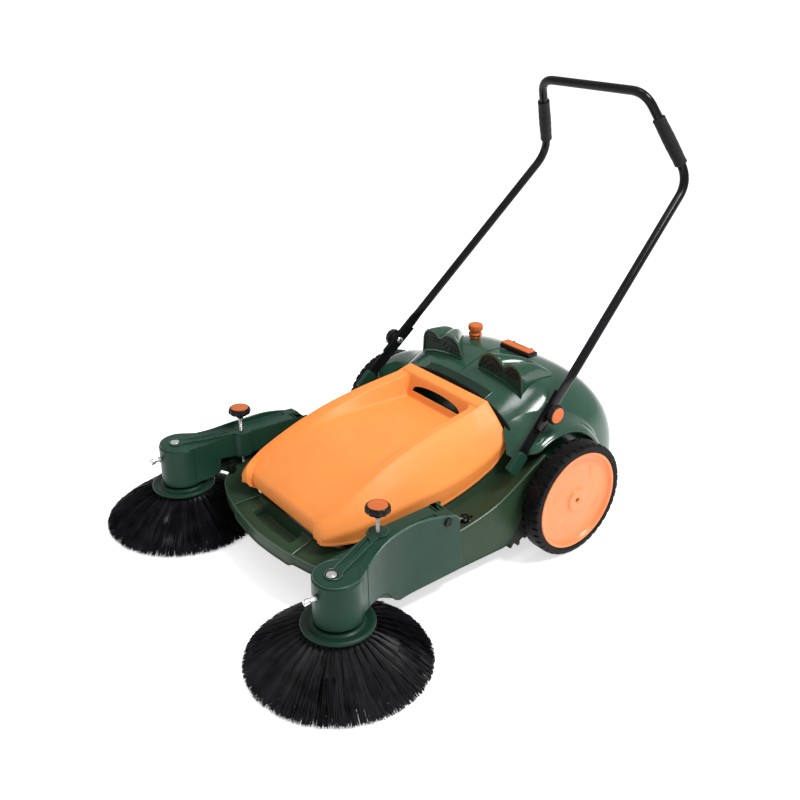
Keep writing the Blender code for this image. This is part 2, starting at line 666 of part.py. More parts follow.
def make_arm(side):
    """Casting: a boss with a beam behind it, hollow from below, its outer plate deeper."""
    height = BOSS_TOP - BOSS_BOTTOM
    boss_rows = [(0.0, 0.0), (BOSS_RADIUS, 0.0), (BOSS_RADIUS, height - 0.006),
                 (BOSS_RADIUS - 0.006, height), (0.0, height)]
    base = Vector((BOSS.x, BOSS.y, BOSS_BOTTOM))
    arm = make_piece(side_name("side_arm", side), lathe(boss_rows, base, (0, 0, 1), 28),
                     "green_plastic", ARM_PIVOT, side)
    deck_z = 0.2135
    view = [(-0.327, 0.070), (-0.334, 0.198), (-0.346, deck_z + 0.003), (-0.545, deck_z + 0.003),
            (-0.598, 0.2062), (-0.660, 0.2062), (-0.660, 0.1085), (-0.560, 0.1085),
            (-0.500, 0.070)]
    beam = prism(arm_beam_outline(), 0.050, 0.300)
    bmesh.ops.recalc_face_normals(beam, faces=beam.faces)
    beam_piece = make_cutter(side_name("arm_beam", side), beam, side)
    view_block = prism(view, 0.245, 0.400, "x")
    bmesh.ops.recalc_face_normals(view_block, faces=view_block.faces)
    combine(beam_piece, make_cutter(side_name("arm_side_view", side), view_block, side),
            "INTERSECT")
    combine(arm, beam_piece, "UNION")
    band = prism(arm_outer_edge(ARM_WALL + 0.0002) + arm_outer_edge(-0.0003)[::-1], 0.050, 0.260)
    bmesh.ops.recalc_face_normals(band, faces=band.faces)
    plate = make_cutter(side_name("arm_plate", side), band, side)
    plate_view = prism(arm_outline(), 0.300, 0.400, "x")
    bmesh.ops.recalc_face_normals(plate_view, faces=plate_view.faces)
    combine(plate, make_cutter(side_name("arm_plate_view", side), plate_view, side), "INTERSECT")
    combine(arm, plate, "UNION")
    inner_x = ARM_INNER_X + ARM_WALL
    hollow = prism([(inner_x, -0.300), (inner_x, -0.552)]
                   + arm_outer_edge(ARM_WALL)[2::-1], 0.020, deck_z - 0.002)
    bmesh.ops.recalc_face_normals(hollow, faces=hollow.faces)
    combine(arm, make_cutter(side_name("arm_hollow", side), hollow, side))
    cheek = make_cutter(side_name("arm_cheek", side),
                        box((0.240, -0.700, 0.020), (0.309, -0.290, 0.158)), side)
    keep = rod(base - Vector((0, 0, 0.1)), base + Vector((0, 0, 0.2)), BOSS_RADIUS + 0.001, 28)
    combine(cheek, make_cutter(side_name("arm_boss_keep", side), keep, side))
    combine(arm, cheek)
    boss_inside = lathe([(0.0, 0.0), (0.040, 0.0), (0.040, 0.092), (0.0, 0.092)],
                        (BOSS.x, BOSS.y, BOSS_BOTTOM - 0.001), (0, 0, 1), 24)
    combine(arm, make_cutter(side_name("boss_inside", side), boss_inside, side))
    passage = prism([(0.298, -0.515), (0.298, -0.650), (0.350, -0.650), (0.350, -0.602),
                     (0.338, -0.571), (0.3235, -0.530), (0.320, -0.515)], 0.1300, 0.1975)
    bmesh.ops.recalc_face_normals(passage, faces=passage.faces)
    combine(arm, make_cutter(side_name("arm_passage", side), passage, side))
    bolt_y = BOSS.y - BOLT_OFFSET
    holes = {
        "pin_hole": rod((ARM_OUTER_X - 0.020, ARM_PIVOT.y, ARM_PIVOT.z),
                        (ARM_OUTER_X + 0.040, ARM_PIVOT.y, ARM_PIVOT.z), 0.0055 + GAP, 16),
        "adjuster_hole": rod((ADJUSTER.x, ADJUSTER.y, 0.1), (ADJUSTER.x, ADJUSTER.y, 0.26),
                             0.004 + GAP, 12),
        "nozzle_hole": rod(NOZZLE_BASE + Vector((0, 0.02, 0.0012)),
                           NOZZLE_BASE - Vector((0, 0.03, 0.0018)), 0.0046, 12),
        "bolt_hole": rod((BOSS.x, bolt_y, 0.185), (BOSS.x, bolt_y, 0.22), 0.004 + GAP, 12),
    }
    for name, hole in holes.items():
        combine(arm, make_cutter(side_name(name, side), hole, side))


def make_arm_fittings(side):
    pin_start = ARM_OUTER_X - 0.016
    pin_x = ARM_OUTER_X + GAP
    pin = [(0.0, 0.0), (0.0055, 0.0), (0.0055, pin_x - pin_start), (0.010, pin_x - pin_start),
           (0.010, pin_x - pin_start + 0.0035), (0.008, pin_x - pin_start + 0.005),
           (0.0, pin_x - pin_start + 0.0055)]
    make_piece(side_name("arm_pivot_pin", side),
               lathe(pin, (pin_start, ARM_PIVOT.y, ARM_PIVOT.z), (1, 0, 0), 16), "black_plastic",
               side=side)
    bolt = [(0.0, 0.0), (0.004, 0.0), (0.004, 0.0075 + GAP), (0.011, 0.0075 + GAP),
            (0.0108, 0.0105), (0.007, 0.0132), (0.0, 0.0140)]
    make_piece(side_name("boss_bolt", side),
               lathe(bolt, (BOSS.x, BOSS.y - BOLT_OFFSET, BOSS_TOP - 0.0075), (0, 0, 1), 16), "chrome",
               side=side)
    nozzle = [(0.0, 0.0), (0.004, 0.0), (0.004, 0.008), (0.0065, 0.008), (0.0065, 0.012),
              (0.0048, 0.013), (0.0048, 0.022), (0.0072, 0.023), (0.0072, 0.033),
              (0.0030, 0.0335), (0.0, 0.0300)]
    make_piece(side_name("spray_nozzle", side), lathe(nozzle, NOZZLE_BASE, NOZZLE_AIM, 12),
               "chrome", side=side)


def make_adjuster(side):
    """Screw that sets the arm's height, with its knob, and the rubber stop the arm rests on."""
    centre = Vector((ADJUSTER.x, ADJUSTER.y, 0.0))
    rod_low, knob_low = 0.130, KNOB_TOP_Z - 0.029
    screw = rod(centre + Vector((0, 0, rod_low)), centre + Vector((0, 0, knob_low + 0.010)), 0.004)
    make_piece(side_name("adjuster_screw", side), screw, "steel",
               centre + Vector((0, 0, rod_low)), side)
    bore = 0.004 + GAP
    knob = [(bore, 0.0), (0.0085, 0.0), (0.0100, 0.008), (0.0260, 0.013, 0.0018),
            (0.0275, 0.018, 0.0018), (0.0260, 0.024, 0.0018), (0.0215, 0.0290), (0.0, 0.029),
            (0.0, 0.010 + GAP), (bore, 0.010 + GAP)]
    make_piece(side_name("adjuster_knob", side),
               lathe(knob, centre + Vector((0, 0, knob_low)), (0, 0, 1), 24, closed=True),
               "black_plastic", centre + Vector((0, 0, knob_low)), side)
    stop = [(0.0, 0.0), (0.0105, 0.0), (0.0105, 0.018), (0.0040, 0.020), (0.0040, 0.027),
            (0.0, 0.027)]
    make_piece(side_name("arm_stop", side), lathe(stop, (0.262, -0.556, 0.1285), (0, 0, 1), 12),
               "black_plastic", side=side)


def make_brush_drive(side):
    """Shafts that bring the roller's turning to the side brush, and its spindle."""
    line = (ARM_PIVOT - BEVEL_TIP).normalized()
    reach = (ARM_PIVOT - BEVEL_TIP).length
    slope = math.tan(BEVEL_HALF_ANGLE)
    near, far = BEVEL_NEAR, BEVEL_FAR
    shaft = 0.004
    rows = [(0.0, near), (near * slope, near, 0.0012), (far * slope, far, 0.0016),
            (shaft, far + 0.0001), (shaft, reach - 0.016), (0.0065, reach - 0.016),
            (0.0065, reach - 0.008), (0.0, reach - 0.004)]
    make_piece(side_name("side_drive_shaft", side), lathe(rows, BEVEL_TIP, line, 16), "steel",
               BEVEL_TIP + line * reach / 2, side)
    line = (BEVEL_APEX_BOSS - ARM_PIVOT).normalized()
    reach = (BEVEL_APEX_BOSS - ARM_PIVOT).length
    slope = math.tan(math.radians(47.0))
    rows = [(0.0, 0.008), (0.0065, 0.012), (0.0065, 0.020), (shaft, 0.020),
            (shaft, reach - far - 0.0001), (far * slope, reach - far, 0.0016),
            (near * slope, reach - near, 0.0012), (0.0, reach - near)]
    make_piece(side_name("arm_shaft", side), lathe(rows, ARM_PIVOT, line, 16), "steel",
               ARM_PIVOT + line * reach / 2, side)
    spindle_foot = 0.084
    tip = BEVEL_APEX_BOSS.z - spindle_foot
    rows = [(0.0, 0.0), (0.006, 0.0), (0.006, tip - far - 0.0001), (far * slope, tip - far, 0.0016),
            (near * slope, tip - near, 0.0012), (0.0, tip - near)]
    foot = Vector((BOSS.x, BOSS.y, spindle_foot))
    make_piece(side_name("brush_spindle", side), lathe(rows, foot, (0, 0, 1), 16), "steel",
               foot, side)


def make_side_brush(side):
    top = FLANGE_TOP_Z
    bore = 0.006 + GAP
    flange = [(FLANGE_RADIUS - 0.008, top - 0.013), (FLANGE_RADIUS, top - 0.008),
              (FLANGE_RADIUS - 0.001, top - 0.003), (FLANGE_RADIUS - 0.006, top - 0.001),
              (0.056, top - 0.003), (0.050, top), (bore, top), (bore, top - 0.013)]
    centre = Vector((BOSS.x, BOSS.y, 0.0))
    make_piece(side_name("brush_flange", side),
               lathe(flange, centre, (0, 0, 1), 28, closed=True), "green_plastic", centre, side)
    disc_top = top - 0.013 - GAP
    outer = BRUSH_RADIUS
    brush = [(outer - 0.030, 0.006), (outer, 0.0060), (outer - 0.004, 0.018),
             (0.145, 0.052), (0.100, 0.077), (FLANGE_RADIUS - 0.005, disc_top),
             (bore, disc_top), (bore, disc_top - 0.012), (0.050, disc_top - 0.012),
             (0.085, 0.050)]
    make_piece(side_name("side_brush", side),
               lathe(brush, centre, (0, 0, 1), 28, closed=True), "bristle_nylon", centre, side)


# ---------------------------------------------------------------- handle
def handle_path():
    """Centre line of half the tube, from its flat lower end to the middle of the top bar."""
    rise = (LOW_BEND - Vector((HANDLE_X, HANDLE_PIVOT.y, HANDLE_PIVOT.z)))
    direction = rise.normalized()
    pivot = Vector((HANDLE_X, HANDLE_PIVOT.y, HANDLE_PIVOT.z))
    path = [(pivot - direction * 0.052, 1.0), (pivot + direction * 0.070, 1.0),
            (pivot + direction * 0.100, 0.0)]
    corners = [(LOW_BEND, direction, (TOP_BEND - LOW_BEND).normalized(), 0.050),
               (TOP_BEND, (TOP_BEND - LOW_BEND).normalized(), Vector((-1.0, 0.0, 0.0)), 0.040)]
    for corner, come, leave, size in corners:
        start, end = corner - come * size, corner + leave * size
        for step in range(5):
            share = step / 4
            curve = start.lerp(corner, share).lerp(corner.lerp(end, share), share)
            path.append((curve, 0.0))
    path.append((Vector((0.0, TOP_BEND.y, TOP_BEND.z)), 0.0))
    return path


def make_handle():
    left = handle_path()
    points = left + [(Vector((-p.x, p.y, p.z)), flat) for p, flat in reversed(left[:-1])]
    stations = []
    across = Vector((1.0, 0.0, 0.0))
    for index, (point, flat) in enumerate(points):
        before = points[max(index - 1, 0)][0]
        after = points[min(index + 1, len(points) - 1)][0]
        direction = (after - before).normalized()
        normal = Vector((0.0, -direction.z, direction.y))
        if normal.length < 0.2 or abs(direction.x) > 0.6:
            normal = Vector((0.0, -0.49, 0.87))
        normal = (normal - direction * normal.dot(direction)).normalized()
        if stations and normal.dot(stations[-1][1]) < 0.0:
            normal.negate()
        thick = direction.cross(normal).normalized()
        wide = TUBE_RADIUS + flat * (0.0160 - TUBE_RADIUS)
        thin = TUBE_RADIUS + flat * (0.0035 - TUBE_RADIUS)
        stations.append((point, normal, thick, wide, thin, 12))
    pivot = Vector((0.0, HANDLE_PIVOT.y, HANDLE_PIVOT.z))
    handle = make_piece("handle_tube", sweep(stations), "black_paint", pivot)
    bolt_radius = 0.004
    slope = (LOW_BEND - Vector((HANDLE_X, HANDLE_PIVOT.y, HANDLE_PIVOT.z))).normalized()
    for side in (1, -1):
        hole = rod((HANDLE_X - 0.02, pivot.y, pivot.z), (HANDLE_X + 0.02, pivot.y, pivot.z),
                   bolt_radius + GAP, 16)
        combine(handle, make_cutter(side_name("handle_hole", side), hole, side))
        grip_line = TOP_BEND - LOW_BEND
        length = grip_line.length
        sleeve = [(TUBE_RADIUS + GAP, 0.0), (GRIP_RADIUS - 0.003, 0.0), (GRIP_RADIUS, 0.004),
                  (GRIP_RADIUS, 0.108), (GRIP_RADIUS - 0.003, 0.112), (TUBE_RADIUS + GAP, 0.112)]
        start = LOW_BEND + grip_line.normalized() * (length - 0.112) * 0.42
        make_piece(side_name("grip", side),
                   lathe(sleeve, start, grip_line, 16, closed=True), "grip_foam", pivot, side)
        bar_x = HANDLE_X - 0.0035 - 0.0020 - 0.0008
        top = Vector((bar_x - 0.0012, pivot.y, pivot.z)) + slope * 0.050
        low = Vector((bar_x, pivot.y, pivot.z)) - slope * 0.155
        wide = Vector((0.0, -slope.z, slope.y)).normalized()
        thick = Vector((1.0, 0.0, 0.0))
        bar = sweep([(low, wide, thick, 0.0150 * math.sqrt(2), 0.0019 * math.sqrt(2), 4),
                     (top, wide, thick, 0.0150 * math.sqrt(2), 0.0019 * math.sqrt(2), 4)])
        bar_piece = make_piece(side_name("handle_bracket", side), bar, "black_paint", side=side)
        hole = rod((HANDLE_X - 0.03, pivot.y, pivot.z), (HANDLE_X + 0.02, pivot.y, pivot.z),
                   bolt_radius + GAP, 16)
        combine(bar_piece, make_cutter(side_name("bracket_hole", side), hole, side))
        head_x = bar_x - 0.0019 - 0.0016 - GAP
        face_x = HANDLE_X + 0.0050
        bolt = [(0.0, head_x - 0.0050), (0.0055, head_x - 0.0042), (0.0090, head_x - 0.0012),
                (0.0092, head_x), (bolt_radius, head_x), (bolt_radius, face_x + 0.012),
                (0.0, face_x + 0.012)]
        make_piece(side_name("handle_bolt", side),
                   lathe(bolt, (0.0, pivot.y, pivot.z), (1, 0, 0), 16), "chrome", side=side)
        bore = bolt_radius + GAP
        knob = [(bore, 0.0), (0.0120, 0.0), (0.0130, 0.004), (0.0225, 0.006, 0.0010),
                (0.0230, 0.017, 0.0010), (0.0210, 0.0200), (0.0, 0.0203), (0.0, 0.0125),
                (bore, 0.0125)]
        knob_base = Vector((face_x, pivot.y, pivot.z))
        make_piece(side_name("handle_knob", side),
                   lathe(knob, knob_base, (1, 0, 0), 24, closed=True), "black_plastic",
                   knob_base, side)
        socket_low = low + slope * 0.004
        socket = sweep([
            (socket_low - slope * 0.012, wide, thick, 0.030, 0.0095, 4),
            (socket_low + slope * 0.034, wide, thick, 0.027, 0.0085, 4)])
        socket_piece = make_piece(side_name("bar_socket", side), socket, "green_plastic",
                                  side=side)
        pocket = sweep([
            (low - slope * GAP, wide, thick, 0.0154 * math.sqrt(2), 0.0023 * math.sqrt(2), 4),
            (low + slope * 0.080, wide, thick, 0.0154 * math.sqrt(2), 0.0023 * math.sqrt(2), 4)])
        combine(socket_piece, make_cutter(side_name("bar_pocket", side), pocket, side))


# ---------------------------------------------------------------- front castors
def make_castors():
    """Two small rollers under the hopper and the strap that carries them."""
    wheel = [(0.0045, -0.0080), (CASTOR_RADIUS - 0.002, -0.0080), (CASTOR_RADIUS, -0.006),
             (CASTOR_RADIUS, 0.006), (CASTOR_RADIUS - 0.002, 0.0080), (0.0045, 0.0080)]
    strap = box((-CASTOR.x - 0.016, CASTOR.y - 0.012, 0.0460), (CASTOR.x + 0.016,
                CASTOR.y + 0.012, 0.0500))
    frame = make_piece("castor_frame", strap, "black_paint")
    for side in (1, -1):
        make_piece(side_name("castor_wheel", side),
                   lathe(wheel, CASTOR, (1, 0, 0), 20, closed=True), "black_plastic", CASTOR, side)
        for place in (-1, 1):
            low_x = CASTOR.x + place * 0.0115 - 0.0015
            lug = box((low_x, CASTOR.y - 0.0100, CASTOR.z - 0.008),
                      (low_x + 0.003, CASTOR.y + 0.0100, 0.0480))
            name = side_name("castor_lug_inner" if place < 0 else "castor_lug_outer", side)
            combine(frame, make_cutter(name, lug, side), "UNION")
        pin = rod(CASTOR - Vector((0.0125, 0, 0)), CASTOR + Vector((0.0125, 0, 0)), 0.0040)
        combine(frame, make_cutter(side_name("castor_pin", side), pin, side), "UNION")


# ---------------------------------------------------------------- build
make_wheels()
make_spur_gears()
make_roller()
make_rear_frame()
make_chassis()
make_hopper()
make_lid()
make_hood()
make_vents()
make_filler()
make_latch()
for each_side in (1, -1):
    make_arm(each_side)
    make_arm_fittings(each_side)
    make_adjuster(each_side)
    make_brush_drive(each_side)
    make_side_brush(each_side)
make_handle()
make_castors()
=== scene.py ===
"""Looks of the walk-behind sweeper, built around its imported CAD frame.

Shapes are written in machine coordinates: metres, front towards -Y, the near (left) side towards
+X, floor at z = 0 and y = 0 on the wheel axle.  make_piece() moves them into the row frame.
"""

import math
import random

import bmesh
import bpy
from mathutils import Matrix, Vector


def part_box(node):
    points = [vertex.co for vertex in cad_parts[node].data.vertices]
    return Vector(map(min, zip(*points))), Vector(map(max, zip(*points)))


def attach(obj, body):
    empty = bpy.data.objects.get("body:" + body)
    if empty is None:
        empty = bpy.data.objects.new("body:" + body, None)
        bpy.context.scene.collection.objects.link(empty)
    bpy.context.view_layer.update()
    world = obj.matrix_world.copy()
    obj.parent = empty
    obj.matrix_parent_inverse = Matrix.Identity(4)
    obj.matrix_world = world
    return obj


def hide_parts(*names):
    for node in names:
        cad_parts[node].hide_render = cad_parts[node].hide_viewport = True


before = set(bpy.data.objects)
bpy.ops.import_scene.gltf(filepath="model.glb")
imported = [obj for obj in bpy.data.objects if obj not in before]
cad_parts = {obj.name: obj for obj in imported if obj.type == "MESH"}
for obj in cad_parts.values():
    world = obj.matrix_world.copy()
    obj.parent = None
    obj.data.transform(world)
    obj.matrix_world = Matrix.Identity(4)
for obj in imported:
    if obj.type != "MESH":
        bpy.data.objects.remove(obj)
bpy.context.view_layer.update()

# ---------------------------------------------------------------- sizes taken from the frame
AXLE_LOW, AXLE_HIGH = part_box("axle")
AXLE_Y = (AXLE_LOW.y + AXLE_HIGH.y) / 2
AXLE_Z = (AXLE_LOW.z + AXLE_HIGH.z) / 2
GAP = 0.0004  # left between parts that would otherwise touch
SHELL = 0.0035  # wall of the moulded covers
ACROSS = 0.32  # half length of a cutter that goes through both sides

WHEEL_HALF = 0.025
WHEEL_X = 0.34
HUB_RADIUS = 0.1195
HUB_SLEEVE = 0.057
TREAD_BLOCKS = 40

ROLLER = Vector((0.0, -0.125, 0.079))
ROLLER_RADIUS = 0.075
ROLLER_HALF = 0.205
CORE_RADIUS = 0.03
BEVEL_TIP = Vector((0.258, -0.125, 0.079))

SIDE_X = 0.3
BAY_X = 0.214
NOSE_Y = -0.64
PANEL_END_Y = -0.135
SKIRT_Z = 0.045

LID_HALF = 0.22
LID_REAR = Vector((0.126, -0.091, 0.338))
LID_NOSE = Vector((0.166, -0.556, 0.196))

HOOD_HALF = 0.28
HOOD_REAR_Y = 0.298
HOOD_BASE_Z = 0.1
HOOD_TOP_Z = 0.3855
HOOD_FRONT_Y = -0.086
APRON_Y = -0.0335
FENDER_X = 0.301
VENT_FRONT_Y = -0.022
VENT_TAIL_Y = 0.094
FILLER = Vector((-0.094, 0.08, 0.3825))
LATCH = Vector((0.047, 0.08, 0.3855))
LATCH_HALF = 0.05

ARM_PIVOT = Vector((0.29, -0.359, 0.198))
ARM_OUTER_X = 0.318
BOSS = Vector((0.336, -0.652, 0.0))
BOSS_TOP = 0.207
BOLT_Y = BOSS.y - 0.012
ADJUSTER = Vector((0.281, -0.514, 0.0))
ADJUSTER_LOW = 0.13
KNOB_TOP_Z = 0.282
KNOB_HEIGHT = 0.029
NOZZLE_BASE = Vector((BOSS.x + 0.003, BOSS.y - 0.044, 0.176))
NOZZLE_AIM = Vector((0.0, -1.0, -0.06))

BRUSH_RADIUS = 0.193
FLANGE_RADIUS = 0.0755
FLANGE_TOP_Z = 0.101

HANDLE_PIVOT = Vector((0.0, -0.03, 0.344))
HANDLE_X = 0.281
TUBE_RADIUS = 0.0108
LOW_BEND = Vector((0.2309, 0.4445, 0.7976))
TOP_BEND = Vector((0.1619, 0.3332, 0.9971))
GRIP_RADIUS = 0.016
GRIP_LENGTH = 0.126

X_AXIS, Z_AXIS = Vector((1, 0, 0)), Vector((0, 0, 1))


# ---------------------------------------------------------------- materials
class Shader:
    """Short calls for building one procedural material."""

    def __init__(self, name):
        self.material = bpy.data.materials.new(name)
        self.material.use_nodes = True
        self.tree = self.material.node_tree
        self.main = self.tree.nodes["Principled BSDF"]
        self.place = self.node("ShaderNodeTexCoord").outputs["Object"]

    def node(self, kind, **settings):
        made = self.tree.nodes.new(kind)
        for key, value in settings.items():
            setattr(made, key, value)
        return made

    def join(self, source, target):
        self.tree.links.new(source, target)

    def stretch(self, scale):
        mapping = self.node("ShaderNodeMapping")
        mapping.inputs["Scale"].default_value = scale
        self.join(self.place, mapping.inputs["Vector"])
        return mapping.outputs["Vector"]

    def noise(self, scale, detail=3.0, roughness=0.5, stretch=None):
        made = self.node("ShaderNodeTexNoise")
        made.inputs["Scale"].default_value = scale
        made.inputs["Detail"].default_value = detail
        made.inputs["Roughness"].default_value = roughness
        self.join(self.stretch(stretch) if stretch else self.place, made.inputs["Vector"])
        return made.outputs["Fac"]

    def cells(self, scale, feature="F1"):
        made = self.node("ShaderNodeTexVoronoi", feature=feature)
        made.inputs["Scale"].default_value = scale
        self.join(self.place, made.inputs["Vector"])
        return made.outputs["Distance"]

    def remap(self, source, low, high, to_low, to_high):
        made = self.node("ShaderNodeMapRange")
        for key, value in (("From Min", low), ("From Max", high), ("To Min", to_low),
                           ("To Max", to_high)):
            made.inputs[key].default_value = value
        self.join(source, made.inputs["Value"])
        return made.outputs["Result"]

    def math(self, operation, first, second):
        made = self.node("ShaderNodeMath", operation=operation)
        for socket, value in zip(made.inputs, (first, second)):
            if isinstance(value, (int, float)):
                socket.default_value = value
            else:
                self.join(value, socket)
        return made.outputs["Value"]

    def mix(self, amount, first, second):
        made = self.node("ShaderNodeMix", data_type="RGBA")
        self.join(amount, made.inputs["Factor"])
        for socket, value in ((made.inputs[6], first), (made.inputs[7], second)):
            if isinstance(value, tuple):
                socket.default_value = (*value, 1.0)
            else:
                self.join(value, socket)
        return made.outputs[2]

    def bump(self, height, strength, distance, after=None):
        made = self.node("ShaderNodeBump")
        made.inputs["Strength"].default_value = strength
        made.inputs["Distance"].default_value = distance
        self.join(height, made.inputs["Height"])
        if after is not None:
            self.join(after, made.inputs["Normal"])
        return made.outputs["Normal"]

    def finish(self, colour=None, roughness=None, normal=None, **constants):
        for value, key in ((colour, "Base Color"), (roughness, "Roughness"), (normal, "Normal")):
            if value is not None:
                self.join(value, self.main.inputs[key])
        for key, value in constants.items():
            self.main.inputs[key.replace("_", " ")].default_value = value
        return self.material


def shaded(colour, factor):
    """A colour made darker or lighter."""
    return tuple(min(1.0, channel * factor) for channel in colour)


def moulded_plastic(name, colour, roughness, spread, shine, grain=900.0, grain_depth=0.00005,
                    scuff=0.25):
    """Injection-moulded plastic: cloudy pigment, fine grain, uneven gloss and faint scuffs."""
    s = Shader(name)
    cloud = s.remap(s.noise(7.0, 3.0), 0.32, 0.68, 0.0, 1.0)
    tint = s.mix(cloud, shaded(colour, 1.0 - spread), shaded(colour, 1.0 + spread))
    streak = s.noise(30.0, 6.0, 0.7, (1.0, 0.22, 3.5))
    worn = s.remap(streak, 0.6, 0.74, 0.0, 0.4 * scuff)
    tint = s.mix(worn, tint, shaded(tuple(0.8 * c + 0.035 for c in colour), 1.15))
    gloss = s.remap(s.noise(45.0, 5.0, 0.6), 0.3, 0.7, roughness - 0.035, roughness + 0.06)
    gloss = s.math("ADD", gloss, s.math("MULTIPLY", worn, 0.5))
    fine = s.bump(s.noise(grain, 2.0), 0.35, grain_depth)
    wavy = s.bump(s.noise(16.0, 2.0), 0.3, 0.0006, fine)
    return s.finish(tint, gloss, wavy, Specular_IOR_Level=shine)


def rubber(name, colour, roughness):
    """Black rubber with pale dust in its grain."""
    s = Shader(name)
    cloud = s.remap(s.noise(22.0, 5.0, 0.65), 0.35, 0.7, 0.0, 1.0)
    tint = s.mix(cloud, shaded(colour, 0.7), shaded(colour, 1.7))
    dust = s.remap(s.noise(70.0, 6.0, 0.7), 0.56, 0.75, 0.0, 0.35)
    tint = s.mix(dust, tint, (0.05, 0.048, 0.045))
    gloss = s.remap(s.noise(60.0, 4.0), 0.3, 0.7, roughness - 0.06, roughness + 0.08)
    return s.finish(tint, gloss, s.bump(s.noise(520.0, 3.0), 0.45, 0.00012),
                    Specular_IOR_Level=0.08)


def foam(name, colour):
    """Closed-cell foam grip: pores and a soft matt skin."""
    s = Shader(name)
    pores = s.cells(750.0)
    tint = s.mix(s.remap(pores, 0.1, 0.6, 0.0, 1.0), shaded(colour, 0.55), shaded(colour, 1.5))
    worn = s.remap(s.noise(26.0, 4.0), 0.45, 0.75, 0.0, 0.4)
    tint = s.mix(worn, tint, shaded(colour, 2.2))
    rough = s.remap(s.noise(90.0, 3.0), 0.3, 0.7, 0.78, 0.95)
    return s.finish(tint, rough, s.bump(pores, 0.55, 0.0003), Sheen_Weight=0.1,
                    Specular_IOR_Level=0.15)


def bristles(name):
    """Black nylon filament; each filament has its own shade."""
    s = Shader(name)
    own = s.node("ShaderNodeAttribute", attribute_name="shade").outputs["Fac"]
    band = s.remap(s.noise(35.0, 3.0), 0.35, 0.7, -0.18, 0.18)
    tint = s.mix(s.math("ADD", own, band), (0.003, 0.003, 0.0035), (0.027, 0.0265, 0.033))
    gloss = s.remap(s.noise(240.0, 2.0), 0.3, 0.7, 0.34, 0.5)
    return s.finish(tint, gloss, None, Specular_IOR_Level=0.13)


def metal(name, colour, roughness, stretch, depth=0.00002):
    """Metal with fine drawing or turning marks along one direction."""
    s = Shader(name)
    marks = s.noise(420.0, 4.0, 0.6, stretch)
    tint = s.mix(s.remap(marks, 0.35, 0.65, 0.0, 1.0), shaded(colour, 0.84), shaded(colour, 1.08))
    spots = s.remap(s.noise(110.0, 5.0, 0.65), 0.58, 0.72, 0.0, 0.35)
    tint = s.mix(spots, tint, shaded(colour, 0.55))
    gloss = s.remap(marks, 0.3, 0.7, roughness * 0.8, roughness * 1.35)
    gloss = s.math("ADD", gloss, s.math("MULTIPLY", spots, 0.4))
    return s.finish(tint, gloss, s.bump(marks, 0.3, depth), Metallic=1.0)


def powder_coat(name, colour, roughness):
    """Gloss black coating with orange peel and small rubbed places."""
    s = Shader(name)
    peel = s.noise(330.0, 2.0)
    cloud = s.remap(s.noise(14.0, 3.0), 0.3, 0.7, 0.0, 1.0)
    tint = s.mix(cloud, shaded(colour, 0.8), shaded(colour, 1.5))
    rub = s.remap(s.noise(55.0, 6.0, 0.7), 0.64, 0.74, 0.0, 0.4)
    tint = s.mix(rub, tint, (0.022, 0.021, 0.02))
    gloss = s.remap(s.noise(80.0, 4.0), 0.3, 0.7, roughness - 0.03, roughness + 0.08)
    return s.finish(tint, gloss, s.bump(peel, 0.3, 0.00006), Specular_IOR_Level=0.14)


GREEN = (0.0105, 0.04, 0.0255)
ORANGE = (0.82, 0.262, 0.058)
# name, colour, roughness, cloudiness, shine, then perhaps grain scale, grain depth and scuffs
MOULDINGS = {
    "green": ("green_moulding", GREEN, 0.32, 0.12, 0.16),
    "green_hood": ("green_hood", (0.015, 0.056, 0.033), 0.15, 0.14, 0.42),
    # the chassis's own dark green, shifted towards olive as a painted reflection of the orange lid
    "green_chassis": ("green_chassis", (0.019, 0.04, 0.0205), 0.34, 0.16, 0.14),
    "green_flange": ("green_flange", shaded(GREEN, 0.7), 0.34, 0.12, 0.18),
    # lighter copy of the green for the arm's beads: painted highlight along edges that catch the
    # light
    "green_rim": ("green_rim", shaded(GREEN, 1.7), 0.26, 0.12, 0.4),
    # lighter copy of the chassis green for its beads: painted highlight along the rim and the
    # nose's step lines
    "chassis_rim": ("chassis_rim", (0.033, 0.062, 0.038), 0.28, 0.12, 0.36),
    "vent_face": ("vent_face", (0.012, 0.027, 0.017), 0.42, 0.15, 0.12),
    "lid": ("orange_lid", ORANGE, 0.42, 0.04, 0.22, 1100.0, 0.00004, 0.1),
    "wheel": ("orange_wheel", (0.8, 0.225, 0.078), 0.3, 0.05, 0.3, 1000.0, 0.00004, 0.12),
    # darker copy of the wheel's orange for the plug deep in the centre hole: painted shade
    "wheel_hole": ("wheel_hole", (0.2, 0.035, 0.015), 0.55, 0.15, 0.5),
    "insert": ("orange_insert", (0.52, 0.12, 0.026), 0.42, 0.08, 0.25),
    "black": ("black_moulding", (0.006, 0.006, 0.0068), 0.34, 0.25, 0.18),
    # gears set near-black as painted shade for the dark space behind the tyres
    "nylon": ("gear_nylon", (0.011, 0.011, 0.012), 0.46, 0.15, 0.2),
}
MATERIALS = {key: moulded_plastic(*values) for key, values in MOULDINGS.items()}
MATERIALS.update({
    "seal": rubber("black_seal", (0.004, 0.004, 0.004), 0.6),
    "tyre": rubber("tyre_rubber", (0.0032, 0.0032, 0.0033), 0.46),
    "foam": foam("grip_foam", (0.006, 0.006, 0.0065)),
    "bristle": bristles("bristle_nylon"),
    "tube": powder_coat("black_coat", (0.0045, 0.0045, 0.0052), 0.17),
    "steel": metal("bright_steel", (0.58, 0.58, 0.59), 0.24, (1.0, 1.0, 6.0)),
    "chrome": metal("chrome", (0.74, 0.74, 0.75), 0.14, (2.0, 2.0, 2.0), 0.00001),
})


